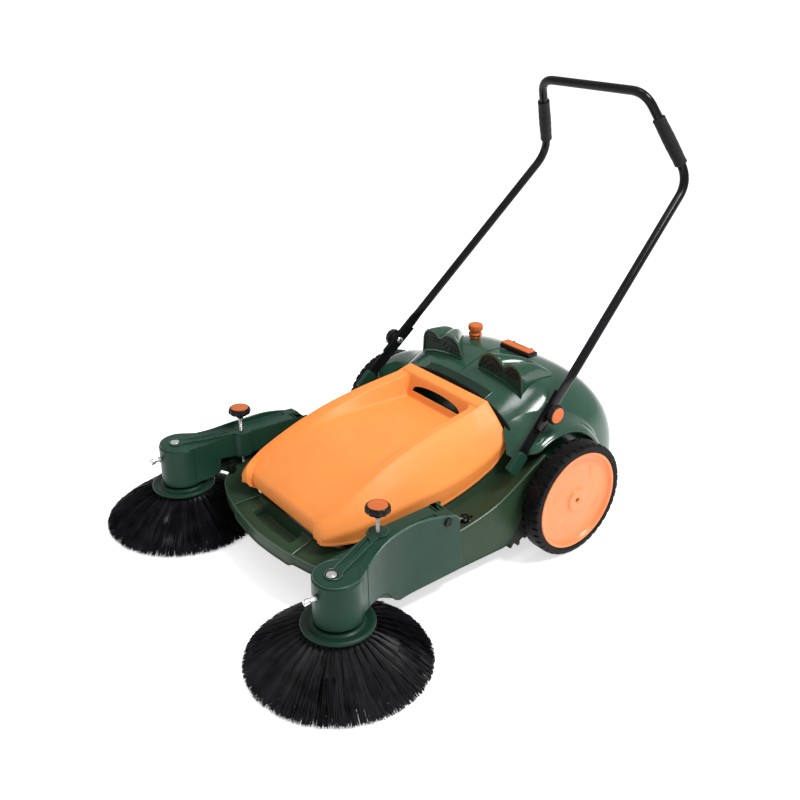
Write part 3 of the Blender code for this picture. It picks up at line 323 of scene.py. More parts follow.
# ---------------------------------------------------------------- tools
def soften(points, radius, steps=4, closed=False):
    """Round the corners of a line of points; radius is one number or one for each point."""
    count = len(points)
    made = []
    for i, point in enumerate(points):
        size = radius[i] if isinstance(radius, (list, tuple)) else radius
        if size <= 0.0 or (not closed and i in (0, count - 1)):
            made.append(tuple(point))
            continue
        before, after = points[(i - 1) % count], points[(i + 1) % count]
        ends = []
        for other in (before, after):
            length = math.dist(other[:3], point[:3])
            share = min(size / length, 0.45) if length > 0 else 0.0
            ends.append([p + (o - p) * share for p, o in zip(point, other)])
        for t in spaced(0.0, 1.0, steps):
            made.append(tuple((1 - t) ** 2 * a + 2 * t * (1 - t) * p + t * t * b
                              for a, p, b in zip(ends[0], point, ends[1])))
    return made


def chaikin(rows, rounds=3):
    """Smooth a list of rows along its length by cutting corners; the two end rows stay."""
    for _ in range(rounds):
        made = [rows[0]]
        for near, far in zip(rows, rows[1:]):
            for share in (0.25, 0.75):
                made.append([tuple(a + (b - a) * share for a, b in zip(p, q))
                             for p, q in zip(near, far)])
        made.append(rows[-1])
        rows = made
    return rows


def arc(centre, radius, degrees):
    """Points (a, b) on a circle round a centre, at the angles given in degrees."""
    return [(centre[0] + radius * math.cos(math.radians(turn)),
             centre[1] + radius * math.sin(math.radians(turn))) for turn in degrees]


def spaced(start, stop, count):
    """Values from start to stop in so many even steps."""
    return [start + (stop - start) * i / count for i in range(count + 1)]


def outward(bm):
    """Turn every face of a closed shape to look out."""
    bmesh.ops.recalc_face_normals(bm, faces=bm.faces)
    return bm


def bridge(bm, rings, around=False, ends=False):
    """Quads between neighbouring rings of vertices, and between the last and first if asked."""
    pairs = list(zip(rings, rings[1:])) + ([(rings[-1], rings[0])] if around else [])
    for low, high in pairs:
        for i in range(len(low)):
            j = (i + 1) % len(low)
            bm.faces.new((low[i], low[j], high[j], high[i]))
    if ends:
        bm.faces.new(list(reversed(rings[0])))
        bm.faces.new(rings[-1])
    return bm


def axis_matrix(centre, axis):
    """Matrix that lays a shape drawn along Z on another axis."""
    turn = Vector(axis).to_track_quat("Z", "Y").to_matrix().to_4x4()
    return Matrix.Translation(Vector(centre)) @ turn


def add_lathe(bm, profile, centre=(0, 0, 0), axis=(0, 0, 1), segments=64, closed=False,
              lobes=0, power=3.0):
    """Turned shape.  A row is (radius, height) or (radius, height, depth of its flutes)."""
    new = []
    rings = []
    for row in profile:
        radius, height = row[0], row[1]
        depth = row[2] if len(row) > 2 else 0.0
        if radius <= 0.0:
            vert = bm.verts.new((0.0, 0.0, height))
            new.append(vert)
            rings.append([vert] * segments)
            continue
        ring = []
        for i in range(segments):
            angle = math.tau * i / segments
            flute = (0.5 - 0.5 * math.cos(lobes * angle)) ** power if lobes else 0.0
            reach = radius - depth * flute
            ring.append(bm.verts.new((reach * math.cos(angle), reach * math.sin(angle), height)))
        new += ring
        rings.append(ring)
    pairs = list(zip(rings, rings[1:])) + ([(rings[-1], rings[0])] if closed else [])
    for low, high in pairs:
        for i in range(segments):
            j = (i + 1) % segments
            corners = list(dict.fromkeys([low[i], low[j], high[j], high[i]]))
            if len(corners) > 2:
                bm.faces.new(corners)
    bmesh.ops.transform(bm, matrix=axis_matrix(centre, axis), verts=new)
    return bm


def lathe(*args, **settings):
    """A turned shape on its own."""
    return add_lathe(bmesh.new(), *args, **settings)


def turned(profile, corner, centre, axis, segments, steps=4, closed=False):
    """Lathe of a profile with softened corners; a closed one is made to face out."""
    bm = lathe(soften(profile, corner, steps, closed), centre, axis, segments, closed)
    return outward(bm) if closed else bm


def pin_profile(radius, low, high):
    """Profile of a plain pin or of the cutter for its hole."""
    return [(0.0, low), (radius, low), (radius, high), (0.0, high)]


def knob_rows(rows, corner=0.0012, steps=4):
    """Softened profile rows of a fluted shape; a row without a flute depth gets none."""
    rows = [(row[0], row[1], row[2] if len(row) > 2 else 0.0) for row in rows]
    return soften(rows, corner, steps)


def add_tube(bm, points, radius, sides=8, closed=False, flat=1.0, up=Z_AXIS):
    """Round bead along a line of points; flat squeezes it along the up direction."""
    points = [Vector(p) for p in points]
    rings = []
    count = len(points)
    for i, point in enumerate(points):
        if closed:
            direction = points[(i + 1) % count] - points[i - 1]
        else:
            direction = points[min(i + 1, count - 1)] - points[max(i - 1, 0)]
        direction.normalize()
        side = direction.cross(up)
        if side.length < 1e-4:
            side = direction.orthogonal()
        side.normalize()
        lift = side.cross(direction).normalized()
        ring = []
        for k in range(sides):
            turn = math.tau * k / sides
            reach = side * math.cos(turn) + lift * flat * math.sin(turn)
            ring.append(bm.verts.new(point + radius * reach))
        rings.append(ring)
    return bridge(bm, rings, around=closed, ends=not closed)


def prism(outline, low, high, axis="z"):
    """Flat outline pushed out along one axis; its two numbers are the other axes, in order."""
    bm = bmesh.new()
    layers = []
    for level in (low, high):
        places = {"x": lambda a, b: (level, a, b), "y": lambda a, b: (a, level, b),
                  "z": lambda a, b: (a, b, level)}
        layers.append([bm.verts.new(places[axis](a, b)) for a, b in outline])
    return outward(bridge(bm, layers, ends=True))


def rounded_box(low, high, radius, segments=3):
    """Box between two corners with its edges rounded."""
    bm = prism([(low[0], low[1]), (high[0], low[1]), (high[0], high[1]), (low[0], high[1])],
               low[2], high[2])
    if radius > 0.0:
        bmesh.ops.bevel(bm, geom=list(bm.edges), offset=radius, segments=segments,
                        affect="EDGES", profile=0.5)
    return bm


def grid_sheet(rows):
    """Open sheet through equal rows of points."""
    bm = bmesh.new()
    grid = [[bm.verts.new(point) for point in row] for row in rows]
    for near, far in zip(grid, grid[1:]):
        for i in range(len(near) - 1):
            bm.faces.new((near[i], near[i + 1], far[i + 1], far[i]))
    return bm


def merge(bm, other):
    """Add another bmesh's geometry to the first."""
    mesh = bpy.data.meshes.new("work_merge")
    other.to_mesh(mesh)
    other.free()
    bm.from_mesh(mesh)
    bpy.data.meshes.remove(mesh)
    return bm


def mirror(bm):
    """Flip a shape to the machine's other side."""
    bmesh.ops.scale(bm, vec=(-1.0, 1.0, 1.0), verts=bm.verts)
    bmesh.ops.reverse_faces(bm, faces=bm.faces)
    return bm


def plain_object(name, bm):
    """A mesh object that isn't a piece; the bmesh is used up."""
    mesh = bpy.data.meshes.new(name)
    bm.to_mesh(mesh)
    bm.free()
    made = bpy.data.objects.new(name, mesh)
    bpy.context.collection.objects.link(made)
    return made


def with_modifiers(made):
    """The object's mesh after its modifiers, as a bmesh; the object itself is removed."""
    depsgraph = bpy.context.evaluated_depsgraph_get()
    bm = bmesh.new()
    bm.from_object(made, depsgraph)
    bpy.data.objects.remove(made, do_unlink=True)
    return bm


def carve(bm, cuts, thickness=0.0):
    """Thicken a sheet inwards if asked, then apply (operation, bmesh) Booleans one by one."""
    body = plain_object("work_body", bm)
    if thickness > 0.0:
        modifier = body.modifiers.new("wall", "SOLIDIFY")
        modifier.thickness, modifier.offset, modifier.use_even_offset = thickness, -1.0, False
    tools = []
    for operation, shape in cuts:
        tool = plain_object("work_tool", shape)
        tool.hide_render = True
        modifier = body.modifiers.new("cut", "BOOLEAN")
        modifier.object, modifier.operation, modifier.solver = tool, operation, "EXACT"
        tools.append(tool)
    bpy.context.view_layer.update()
    result = with_modifiers(body)
    for tool in tools:
        bpy.data.objects.remove(tool, do_unlink=True)
    return result


def make_piece(name, bm, material, body, replaces=None, side=0, smooth=35.0, bevel=0.0):
    """Turn a bmesh in machine coordinates into a piece that rides on a CAD body.

    With a side, the piece, the node it replaces and a body that comes in pairs get its ending.
    """
    if side:
        name = both(name, side)
        body = body if body in ("chassis", "handle") else both(body, side)
        replaces = both(replaces, side) if replaces else None
    if side < 0:
        mirror(bm)
    bmesh.ops.translate(bm, vec=(0.0, AXLE_Y, 0.0), verts=bm.verts)
    mesh = bpy.data.meshes.new(name)
    bm.to_mesh(mesh)
    bm.free()
    mesh.shade_smooth()
    mesh.set_sharp_from_angle(angle=math.radians(smooth))
    piece = bpy.data.objects.new(name, mesh)
    bpy.context.collection.objects.link(piece)
    for each in ([material] if isinstance(material, str) else material):
        mesh.materials.append(MATERIALS[each])
    if bevel > 0.0:
        round_edges(piece, bevel)
    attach(piece, body)
    if replaces:
        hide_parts(replaces)
    return piece


def round_edges(piece, width, segments=3, angle=32.0):
    """Bevel every edge sharper than an angle."""
    modifier = piece.modifiers.new("soft_edges", "BEVEL")
    modifier.width = width
    modifier.segments = segments
    modifier.limit_method = "ANGLE"
    modifier.angle_limit = math.radians(angle)
    modifier.harden_normals = True
    modifier.use_clamp_overlap = True


def keep_node(name, material, bevel=0.0):
    """Show the CAD node itself with a better material and, if asked, rounded edges."""
    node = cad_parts[name]
    node.data.materials.clear()
    node.data.materials.append(MATERIALS[material])
    if bevel > 0.0:
        weld = node.modifiers.new("weld", "WELD")
        weld.merge_threshold = 0.00002
        round_edges(node, bevel, 2, 38.0)


def both(base, side):
    """A name with the ending of one side."""
    return base + ("_left" if side > 0 else "_right")


def blend(table, value):
    """Straight-line value between the rows of a table, held level past its ends."""
    if value <= table[0][0]:
        return table[0][1]
    for (a, low), (b, high) in zip(table, table[1:]):
        if value <= b:
            return low + (high - low) * (value - a) / (b - a)
    return table[-1][1]


def smoothstep(low, high, value):
    """0 before low, 1 past high and an even S between them; high may be the smaller one."""
    t = min(1.0, max(0.0, (value - low) / (high - low)))
    return t * t * (3.0 - 2.0 * t)


# ---------------------------------------------------------------- wheels
def make_tyre(side):
    """Tyre with staggered shoulder blocks and two fine beads on each sidewall."""
    half = WHEEL_HALF
    inner = HUB_RADIUS + GAP
    # (radius, place across, depth of the gaps between shoulder blocks)
    rows = [(inner, -0.93 * half, 0.0), (inner + 0.004, -0.985 * half, 0.0),
            (0.1285, -0.995 * half, 0.0), (0.1325, -0.985 * half, 0.0008),
            (0.135, -0.975 * half, 0.0022), (0.1378, -0.86 * half, 0.003),
            (0.139, -0.66 * half, 0.0034), (0.1392, -0.52 * half, 0.003),
            (0.1392, -0.46 * half, 0.0006), (0.1393, -0.3 * half, 0.0), (0.1394, 0.0, 0.0)]
    rows += [(r, -x, d) for r, x, d in reversed(rows[:-1])]
    steps = 8
    segments = TREAD_BLOCKS * steps
    cut = (0.0, 0.0, 0.0, 0.0, 0.0, 1.0, 1.0, 0.0)
    bm = bmesh.new()
    rings = []
    for radius, place, depth in rows:
        ring = []
        for i in range(segments):
            shift = 0 if place < 0 else steps // 2
            gap = cut[(i + shift) % steps]
            angle = math.tau * (i + (0.25 if gap else 0.0)) / segments
            reach = radius - depth * gap
            ring.append(bm.verts.new((place, reach * math.cos(angle), reach * math.sin(angle))))
        rings.append(ring)
    bridge(bm, rings, around=True)
    for radius, place, size in ((0.1245, half, 0.001), (0.1303, half * 0.995, 0.0007)):
        for sign in (1, -1):
            circle = arc((0.0, 0.0), radius, spaced(0.0, 360.0, 160)[:-1])
            line = [(sign * (place - 0.0006), y, z) for y, z in circle]
            add_tube(bm, line, size, 6, True, up=X_AXIS)
    outward(bm)
    bmesh.ops.translate(bm, vec=(WHEEL_X, 0.0, AXLE_Z), verts=bm.verts)
    make_piece("tyre_tread", bm, "tyre", "wheel", "tyre", side, smooth=28.0)


def make_hub(side):
    """Orange wheel disc with four thumb-print dimples, its centre plug in a darker orange as
    painted shade in the hole, and its inner cover.
    """
    half = WHEEL_HALF
    bore = 0.0104
    front = [(HUB_RADIUS, -0.9 * half), (HUB_RADIUS, 0.91 * half), (0.1185, 0.975 * half),
             (0.115, 0.985 * half), (0.1128, 0.93 * half), (0.1112, 0.8 * half),
             (0.1085, 0.6 * half), (0.1035, 0.545 * half)]
    corners = [0.0] + [0.0008, 0.0008, 0.001, 0.001, 0.0015, 0.002, 0.003]
    # shallow dish, then the raised boss
    dish = [(0.096, 0.0128)] + [(0.096 - 0.003 * i, 0.0128 + 0.00012 * i) for i in range(1, 22)]
    dish += [(0.031, 0.0158), (0.0285, 0.0164), (0.0268, 0.0196), (0.025, 0.0206),
             (0.012, 0.0212), (0.007, 0.0206), (0.0062, 0.019), (0.006, 0.01)]
    corners += [0.006] + [0.0] * 21 + [0.0012] * 8
    back = [(bore, 0.006), (bore, -HUB_SLEEVE), (0.016, -HUB_SLEEVE), (0.016, 0.004),
            (0.106, 0.006), (0.112, -0.9 * half)]
    corners += [0.0, 0.0, 0.001, 0.003, 0.004, 0.001]
    rows = soften(front + dish + back, corners, 3, True)
    centre = (WHEEL_X, 0, AXLE_Z)
    bm = outward(lathe(list(reversed(rows)), centre, X_AXIS, 176, True))
    dimple_ring, dimple_size, dimple_count, dimple_depth = 0.066, 0.0215, 4, 0.0024
    for vert in bm.verts:
        out_y, out_z = vert.co.y, vert.co.z - AXLE_Z
        if vert.co.x < WHEEL_X + 0.0115 or not 0.033 < math.hypot(out_y, out_z) < 0.097:
            continue
        for i in range(dimple_count):
            turn = math.radians(68) + math.tau * i / dimple_count
            aside = Vector((out_y, out_z)) - dimple_ring * Vector((math.cos(turn), math.sin(turn)))
            lean = aside.dot(Vector((math.cos(turn - 0.5), math.sin(turn - 0.5)))) / dimple_size
            vert.co.x -= (dimple_depth * smoothstep(dimple_size, dimple_size - 0.002, aside.length)
                          * smoothstep(-0.55, 0.95, lean))
    make_piece("wheel_disc", bm, "wheel", "wheel", "wheel_hub", side, smooth=45.0)
    # the plug at the bottom of the centre hole is coloured darker as painted shade
    plug = [(0.0, 0.0062), (0.0057, 0.0062), (0.0057, 0.0128), (0.0045, 0.0138), (0.003, 0.0122),
            (0.0, 0.0118)]
    make_piece("wheel_plug", turned(plug, 0.0006, centre, X_AXIS, 32),
               "wheel_hole", "wheel", side=side)
    cover = [(0.0185, -0.0238), (0.105, -0.0238), (0.1105, -0.0222), (0.1105, -0.0205),
             (0.0185, -0.0205)]
    make_piece("wheel_back", turned(cover, 0.0006, centre, X_AXIS, 96, 3, True), "black", "wheel",
               side=side)


# ---------------------------------------------------------------- main roller
def add_bristle(bm, layer, points, radii, shade, sides=3):
    """One tapered filament through a few points."""
    rings = []
    count = len(points)
    for i, point in enumerate(points):
        direction = (points[min(i + 1, count - 1)] - points[max(i - 1, 0)]).normalized()
        side = direction.orthogonal().normalized()
        lift = direction.cross(side)
        ring = []
        for k in range(sides):
            turn = math.tau * k / sides
            vert = bm.verts.new(point + (side * math.cos(turn) + lift * math.sin(turn)) * radii[i])
            vert[layer] = shade
            ring.append(vert)
        rings.append(ring)
    bridge(bm, rings, ends=True)


def make_roller():
    """Helical rows of tufts round the core of the main brush."""
    draw = random.Random(41)
    bm = bmesh.new()
    layer = bm.verts.layers.float.new("shade")
    sleeve = CORE_RADIUS + 0.003
    add_lathe(bm, soften([(sleeve, ROLLER_HALF), (CORE_RADIUS + GAP, ROLLER_HALF),
                          (CORE_RADIUS + GAP, -ROLLER_HALF), (sleeve, -ROLLER_HALF)], 0.001, 3,
                         True), (0, 0, 0), (1, 0, 0), 48, True)
    starts, along_count, filaments, turns = 8, 46, 7, 0.9
    reach = ROLLER_RADIUS - 0.0006
    for start in range(starts):
        for step in range(along_count):
            x = -ROLLER_HALF + 0.006 + (2 * ROLLER_HALF - 0.012) * step / (along_count - 1)
            turn = math.tau * (start / starts + turns * step / along_count)
            tone = draw.uniform(0.1, 0.7)
            for _ in range(filaments):
                angle = turn + draw.uniform(-0.035, 0.035)
                spread = angle + draw.uniform(-0.11, 0.11)
                shift = draw.uniform(-0.0028, 0.0028)
                foot = Vector((x + shift * 0.6, math.cos(angle), math.sin(angle)))
                tip = Vector((x + shift * 1.6, math.cos(spread), math.sin(spread)))
                tip.x = max(-ROLLER_HALF + 0.001, min(ROLLER_HALF - 0.001, tip.x))
                far = reach - draw.uniform(0.0, 0.003)
                points = [Vector((foot.x, foot.y * (sleeve - 0.001), foot.z * (sleeve - 0.001))),
                          Vector((tip.x, tip.y * far, tip.z * far))]
                add_bristle(bm, layer, points, (0.0009, 0.0006), tone + draw.uniform(-0.1, 0.2))
    bmesh.ops.translate(bm, vec=ROLLER, verts=bm.verts)
    make_piece("roller_tufts", bm, "bristle", "roller", "roller_bristles",
               smooth=60.0)


# ---------------------------------------------------------------- chassis
RIM_HEIGHTS = [(-0.64, 0.122), (-0.58, 0.122), (-0.45, 0.13), (-0.3, 0.146), (-0.244, 0.153),
               (-0.185, 0.172), (-0.126, 0.208), (-0.055, 0.25)]
BAY_HEIGHTS = [(-0.56, 0.133), (-0.45, 0.136), (-0.3, 0.146), (-0.2, 0.165), (-0.1, 0.195)]


def chassis_stations():
    """Rim and bay points in plan, from the rear right corner round the nose to the rear left."""
    rim = [(0.0, NOSE_Y), (0.03, -0.6385), (0.06, -0.636), (0.076, -0.634), (0.088, -0.6325),
           (0.102, -0.631), (0.116, -0.629), (0.126, -0.627), (0.136, -0.624),
           (0.19, -0.612), (0.25, -0.583), (0.284, -0.53), (SIDE_X, -0.45), (SIDE_X, -0.35),
           (SIDE_X, -0.275), (SIDE_X, -0.205), (SIDE_X, -0.15), (SIDE_X, -0.1),
           (SIDE_X, -0.055)]
    bay = [(0.0, -0.56), (0.025, -0.5597), (0.05, -0.559), (0.066, -0.5588), (0.076, -0.5586),
           (0.087, -0.5583), (0.1, -0.558), (0.112, -0.558), (0.122, -0.557),
           (0.16, -0.551), (0.19, -0.53), (0.208, -0.49), (BAY_X, -0.43), (BAY_X, -0.35),
           (BAY_X, -0.275), (BAY_X, -0.205), (BAY_X, -0.15), (BAY_X, -0.115), (BAY_X, -0.095)]
    left = list(zip(rim, bay))
    right = [((-r[0], r[1]), (-b[0], b[1])) for r, b in reversed(left[1:])]
    return right + left


def chassis_sections():
    """Bay edge, rim and skirt at each station, smoothed along the way round."""
    sections = []
    for rim, bay in chassis_stations():
        bay_z = blend(BAY_HEIGHTS, bay[1])
        rim_z = blend(RIM_HEIGHTS, rim[1])
        skirt_z = SKIRT_Z
        if rim[1] < -0.5:
            skirt_z = 0.098
        if abs(rim[0]) < 0.125 and rim[1] < -0.5:
            skirt_z = 0.09
        skirt_y = rim[1]
        if rim[1] > PANEL_END_Y:
            skirt_y = PANEL_END_Y + 0.25 * (rim[1] - PANEL_END_Y)
            skirt_z = SKIRT_Z + 0.9 * (rim[1] - PANEL_END_Y)
        sections.append([(bay[0], bay[1], bay_z), (rim[0], rim[1], rim_z),
                         (rim[0] * 0.995, skirt_y, skirt_z)])
    return chaikin(sections, 2)


def make_chassis():
    """Shallow tray round the hopper bay: sunken nose shelf with a grip pocket, beaded rim with its
    beads in a lighter green as painted highlight.
    """
    across = 30
    rows = []
    for bay, rim, skirt in chassis_sections():
        bay, rim, skirt = Vector(bay), Vector(rim), Vector(skirt)
        out = (rim - bay)
        out.z = 0.0
        out.normalize()
        row = [bay - Z_AXIS * 0.012, bay - Z_AXIS * 0.0015, bay + out * 0.0015]
        nose = smoothstep(0.136, 0.124, abs(rim.x)) * smoothstep(-0.5, -0.53, rim.y)
        pocket_x = smoothstep(0.089, 0.079, abs(rim.x)) * smoothstep(-0.5, -0.53, rim.y)
        for step in range(1, across):
            share = step / across
            point = bay.lerp(rim, share)
            shelf = smoothstep(0.1, 0.2, share) * smoothstep(0.93, 0.84, share)
            pocket = smoothstep(0.1, 0.17, share) * smoothstep(0.62, 0.56, share)
            trough = 0.0035 * math.sin(math.pi * share) * (1.0 - nose)
            point.z -= 0.005 * nose * shelf + 0.02 * pocket_x * pocket + trough
            row.append(point)
        row += [rim - out * inwards + Z_AXIS * rise for inwards, rise in
                ((0.0075, 0.0004), (0.006, 0.0012), (0.003, 0.0018), (0.0008, 0.0008),
                 (0.0, -0.002))]
        low = rim - Z_AXIS * 0.008
        row += [low, low - out * 0.0012 - Z_AXIS * 0.0012]
        inset = skirt - out * 0.0012
        row += [low.lerp(inset, 0.35) - out * 0.0008, low.lerp(inset, 0.7) - out * 0.0008,
                inset + Z_AXIS * 0.003, skirt + Z_AXIS * 0.0015, skirt]
        rows.append([tuple(p) for p in row])
    columns = [[row[i] for row in rows] for i in range(len(rows[0]))]
    sheet = grid_sheet(list(reversed(columns)))
    holes = []
    centre, line = slot_place()
    for side in (1, -1):
        hole = lathe(pin_profile(0.0085, -0.04, 0.04), centre, line, 32)
        holes.append(("DIFFERENCE", hole if side > 0 else mirror(hole)))
    bm = carve(sheet, holes, SHELL)
    make_piece("chassis_tray", bm, "green_chassis", "chassis", "chassis_shell",
               smooth=38.0)
    beads = bmesh.new()
    add_tube(beads, [(x, y, z + 0.001) for _, (x, y, z), _ in chassis_sections()], 0.002, 10)
    for side in (1, -1):
        add_tube(beads, [(side * 0.113, -0.56, 0.133), (side * 0.12, -0.595, 0.128),
                         (side * 0.1255, -0.6265, 0.1228)], 0.0018, 10)
    # rim and step beads in a lighter green: painted highlight
    make_piece("chassis_beads", beads, "chassis_rim", "chassis")


def slot_place():
    """Where the drive shaft leaves the chassis, and its direction."""
    return BEVEL_TIP.lerp(ARM_PIVOT, 0.61), (BEVEL_TIP - ARM_PIVOT).normalized()


def make_shaft_collar(side):
    """Oval black collar round the hole that the side brush's shaft comes out of."""
    centre, line = slot_place()
    rows = [(0.0081, -0.001), (0.01, -0.001), (0.0112, 0.001), (0.01, 0.0085), (0.0081, 0.0085)]
    make_piece("shaft_collar", turned(rows, 0.0008, centre - line * 0.004, -line, 40, 3, True),
               "seal", "chassis", side=side)


# ---------------------------------------------------------------- lid
LID_LOW_HEIGHTS = [(-0.575, 0.1495), (-0.45, 0.148), (-0.3, 0.157), (-0.2, 0.182),
                   (-0.14, 0.208), (-0.09, 0.246)]
# (y, crest height, tray height, share of the full half width, how far the side drops, panel step)
LID_SPINE = [(-0.569, 0.15, 0.15, 0.722, 0.02, 0.3),
             (-0.577, 0.151, 0.1508, 0.73, 0.1, 0.6),
             (-0.58, 0.158, 0.157, 0.742, 0.3, 1.0), (-0.5802, 0.182, 0.179, 0.756, 0.45, 1.0),
             (-0.5775, 0.1915, 0.188, 0.785, 0.6, 1.0), (-0.566, 0.2, 0.196, 0.832, 0.75, 1.0),
             (-0.545, 0.2095, 0.2055, 0.882, 0.9, 1.0), (-0.515, 0.2235, 0.2195, 0.93, 1.0, 1.0),
             (-0.47, 0.245, 0.24, 0.975, 1.0, 1.0), (-0.42, 0.266, 0.257, 1.0, 1.0, 1.0),
             (-0.35, 0.29, 0.268, 1.0, 1.0, 1.0), (-0.26, 0.309, 0.272, 1.0, 1.0, 1.0),
             (-0.19, 0.319, 0.2725, 1.0, 1.0, 1.0), (-0.15, 0.324, 0.273, 1.0, 1.0, 1.0),
             (-0.14, 0.3256, 0.274, 1.0, 1.0, 1.0), (-0.1365, 0.3262, 0.277, 1.0, 1.0, 1.0),
             (-0.124, 0.33, 0.319, 1.0, 1.0, 1.0), (-0.1215, 0.331, 0.3255, 0.998, 1.0, 0.9),
             (-0.118, 0.3322, 0.3322, 0.995, 1.0, 0.1), (-0.1, 0.337, 0.337, 0.985, 1.0, 0.0),
             (-0.093, 0.3376, 0.3376, 0.975, 1.0, 0.0),
             (LID_REAR.y, LID_REAR.z - 0.003, LID_REAR.z - 0.003, 0.97, 1.0, 0.0)]


def lid_section(y, crest, tray, share, drop, step):
    """Half of the lid's cross-section from its lower edge to the middle, corners rounded."""
    along = (y - LID_NOSE.y) / (LID_REAR.y - LID_NOSE.y)
    crest_x = (LID_NOSE.x + (LID_REAR.x + 0.014 - LID_NOSE.x) * along) * min(1.0, share + 0.08)
    edge_x = LID_HALF * share
    low = min(blend(LID_LOW_HEIGHTS, y), crest)
    down = (0.005 + 0.0065 * smoothstep(-0.3, -0.5, y)) * step
    ridge_share = 0.42 - 0.14 * smoothstep(-0.45, -0.2, y)
    ridge = Vector((edge_x - 0.001, low + ridge_share * (crest - low)))
    half_way = ridge.lerp(Vector((crest_x, crest)), 0.5)
    floor = min(tray, crest - down)
    inner_y = y + 0.0135 * smoothstep(-0.53, -0.572, y)
    points = [(edge_x - 0.001, y, low), (edge_x - 0.001, y, low + 0.004),
              (edge_x - 0.0022, y, low + 0.006),
              (ridge.x, y, ridge.y),
              (half_way.x + 0.002, y, half_way.y + 0.0026 * drop),
              (crest_x + 0.0012, y, crest),
              (crest_x - 0.0012, inner_y, crest - down), (crest_x - 0.023, inner_y, crest - down),
              (crest_x - 0.041, inner_y, floor), (0.5 * (crest_x - 0.041), inner_y, floor),
              (0.0, inner_y, floor)]
    radii = [0.0, 0.0012, 0.0012, 0.0075, 0.01, 0.001, 0.0014, 0.004, 0.007, 0.0, 0.0]
    return soften(points, radii, 5)


def finger_slot():
    """Cutter for the slot in the tray's rear wall: flat below, arched above."""
    half, low, spring, rise = 0.088, 0.29, 0.293, 0.0205
    points = [(-half, low), (half, low)]
    points += [(half * x, spring + rise * z ** 0.8)
               for x, z in arc((0.0, 0.0), 1.0, range(0, 180, 12))] + [(-half, spring)]
    return prism(points, -0.148, -0.115, "y")


def make_lid():
    """Orange lid: tray with a sharp crest, side ridges, finger slot and a moulding nub."""
    rows = [lid_section(*row) for row in LID_SPINE]
    rows = chaikin(rows, 3)
    rows = [[(-x, y, z) for x, y, z in row] + list(reversed(row[:-1])) for row in rows]
    nub = lathe(soften([(0.0, -0.004), (0.0026, -0.004), (0.0026, 0.0012), (0.0, 0.0018)],
                       0.001), (0.012, -0.5645, 0.168), (0, -1, 0.05), 24)
    bm = carve(grid_sheet(rows), [("DIFFERENCE", finger_slot()), ("UNION", nub)], SHELL)
    make_piece("lid_cover", bm, "lid", "lid", "lid", smooth=40.0)


# ---------------------------------------------------------------- hood
def hood_section(y):
    """Half width, height and roundness of the hood's section at one place."""
    share = min(max(y, 0.0) / HOOD_REAR_Y, 0.999)
    high = (1.0 - share ** 2.6) ** (1.0 / 2.6)
    wide = (1.0 - share ** 4.4) ** (1.0 / 4.4)
    fall = 0.048 * max(0.0, (0.05 - y) / 0.136) ** 1.3
    power = 3.2 - 0.6 * min(1.0, max(0.0, (0.03 - y) / 0.116))
    return HOOD_HALF * wide, (HOOD_TOP_Z - HOOD_BASE_Z - fall) * high, power


def hood_height(x, y):
    """Height of the hood's skin at one place in plan."""
    half, height, power = hood_section(y)
    return HOOD_BASE_Z + height * (1.0 - min(1.0, abs(x / half)) ** power) ** (1.0 / power)


def hood_side(y, z):
    """Half width of the hood at one place and height."""
    half, height, power = hood_section(y)
    up = min(1.0, max(0.0, (z - HOOD_BASE_Z) / height))
    return half * (1.0 - up ** power) ** (1.0 / power)


def hood_row(y, steps=48):
    """The hood's section at one place as a row of points, from edge to edge."""
    half, height, power = hood_section(y)
    row = []
    for step in range(-steps, steps + 1):
        turn = math.pi / 2 * step / steps
        across = math.copysign(abs(math.sin(turn)) ** (2.0 / power), step)
        up = max(math.cos(turn), 0.0) ** (2.0 / power)
        row.append((half * across, y, HOOD_BASE_Z + height * up))
    return row


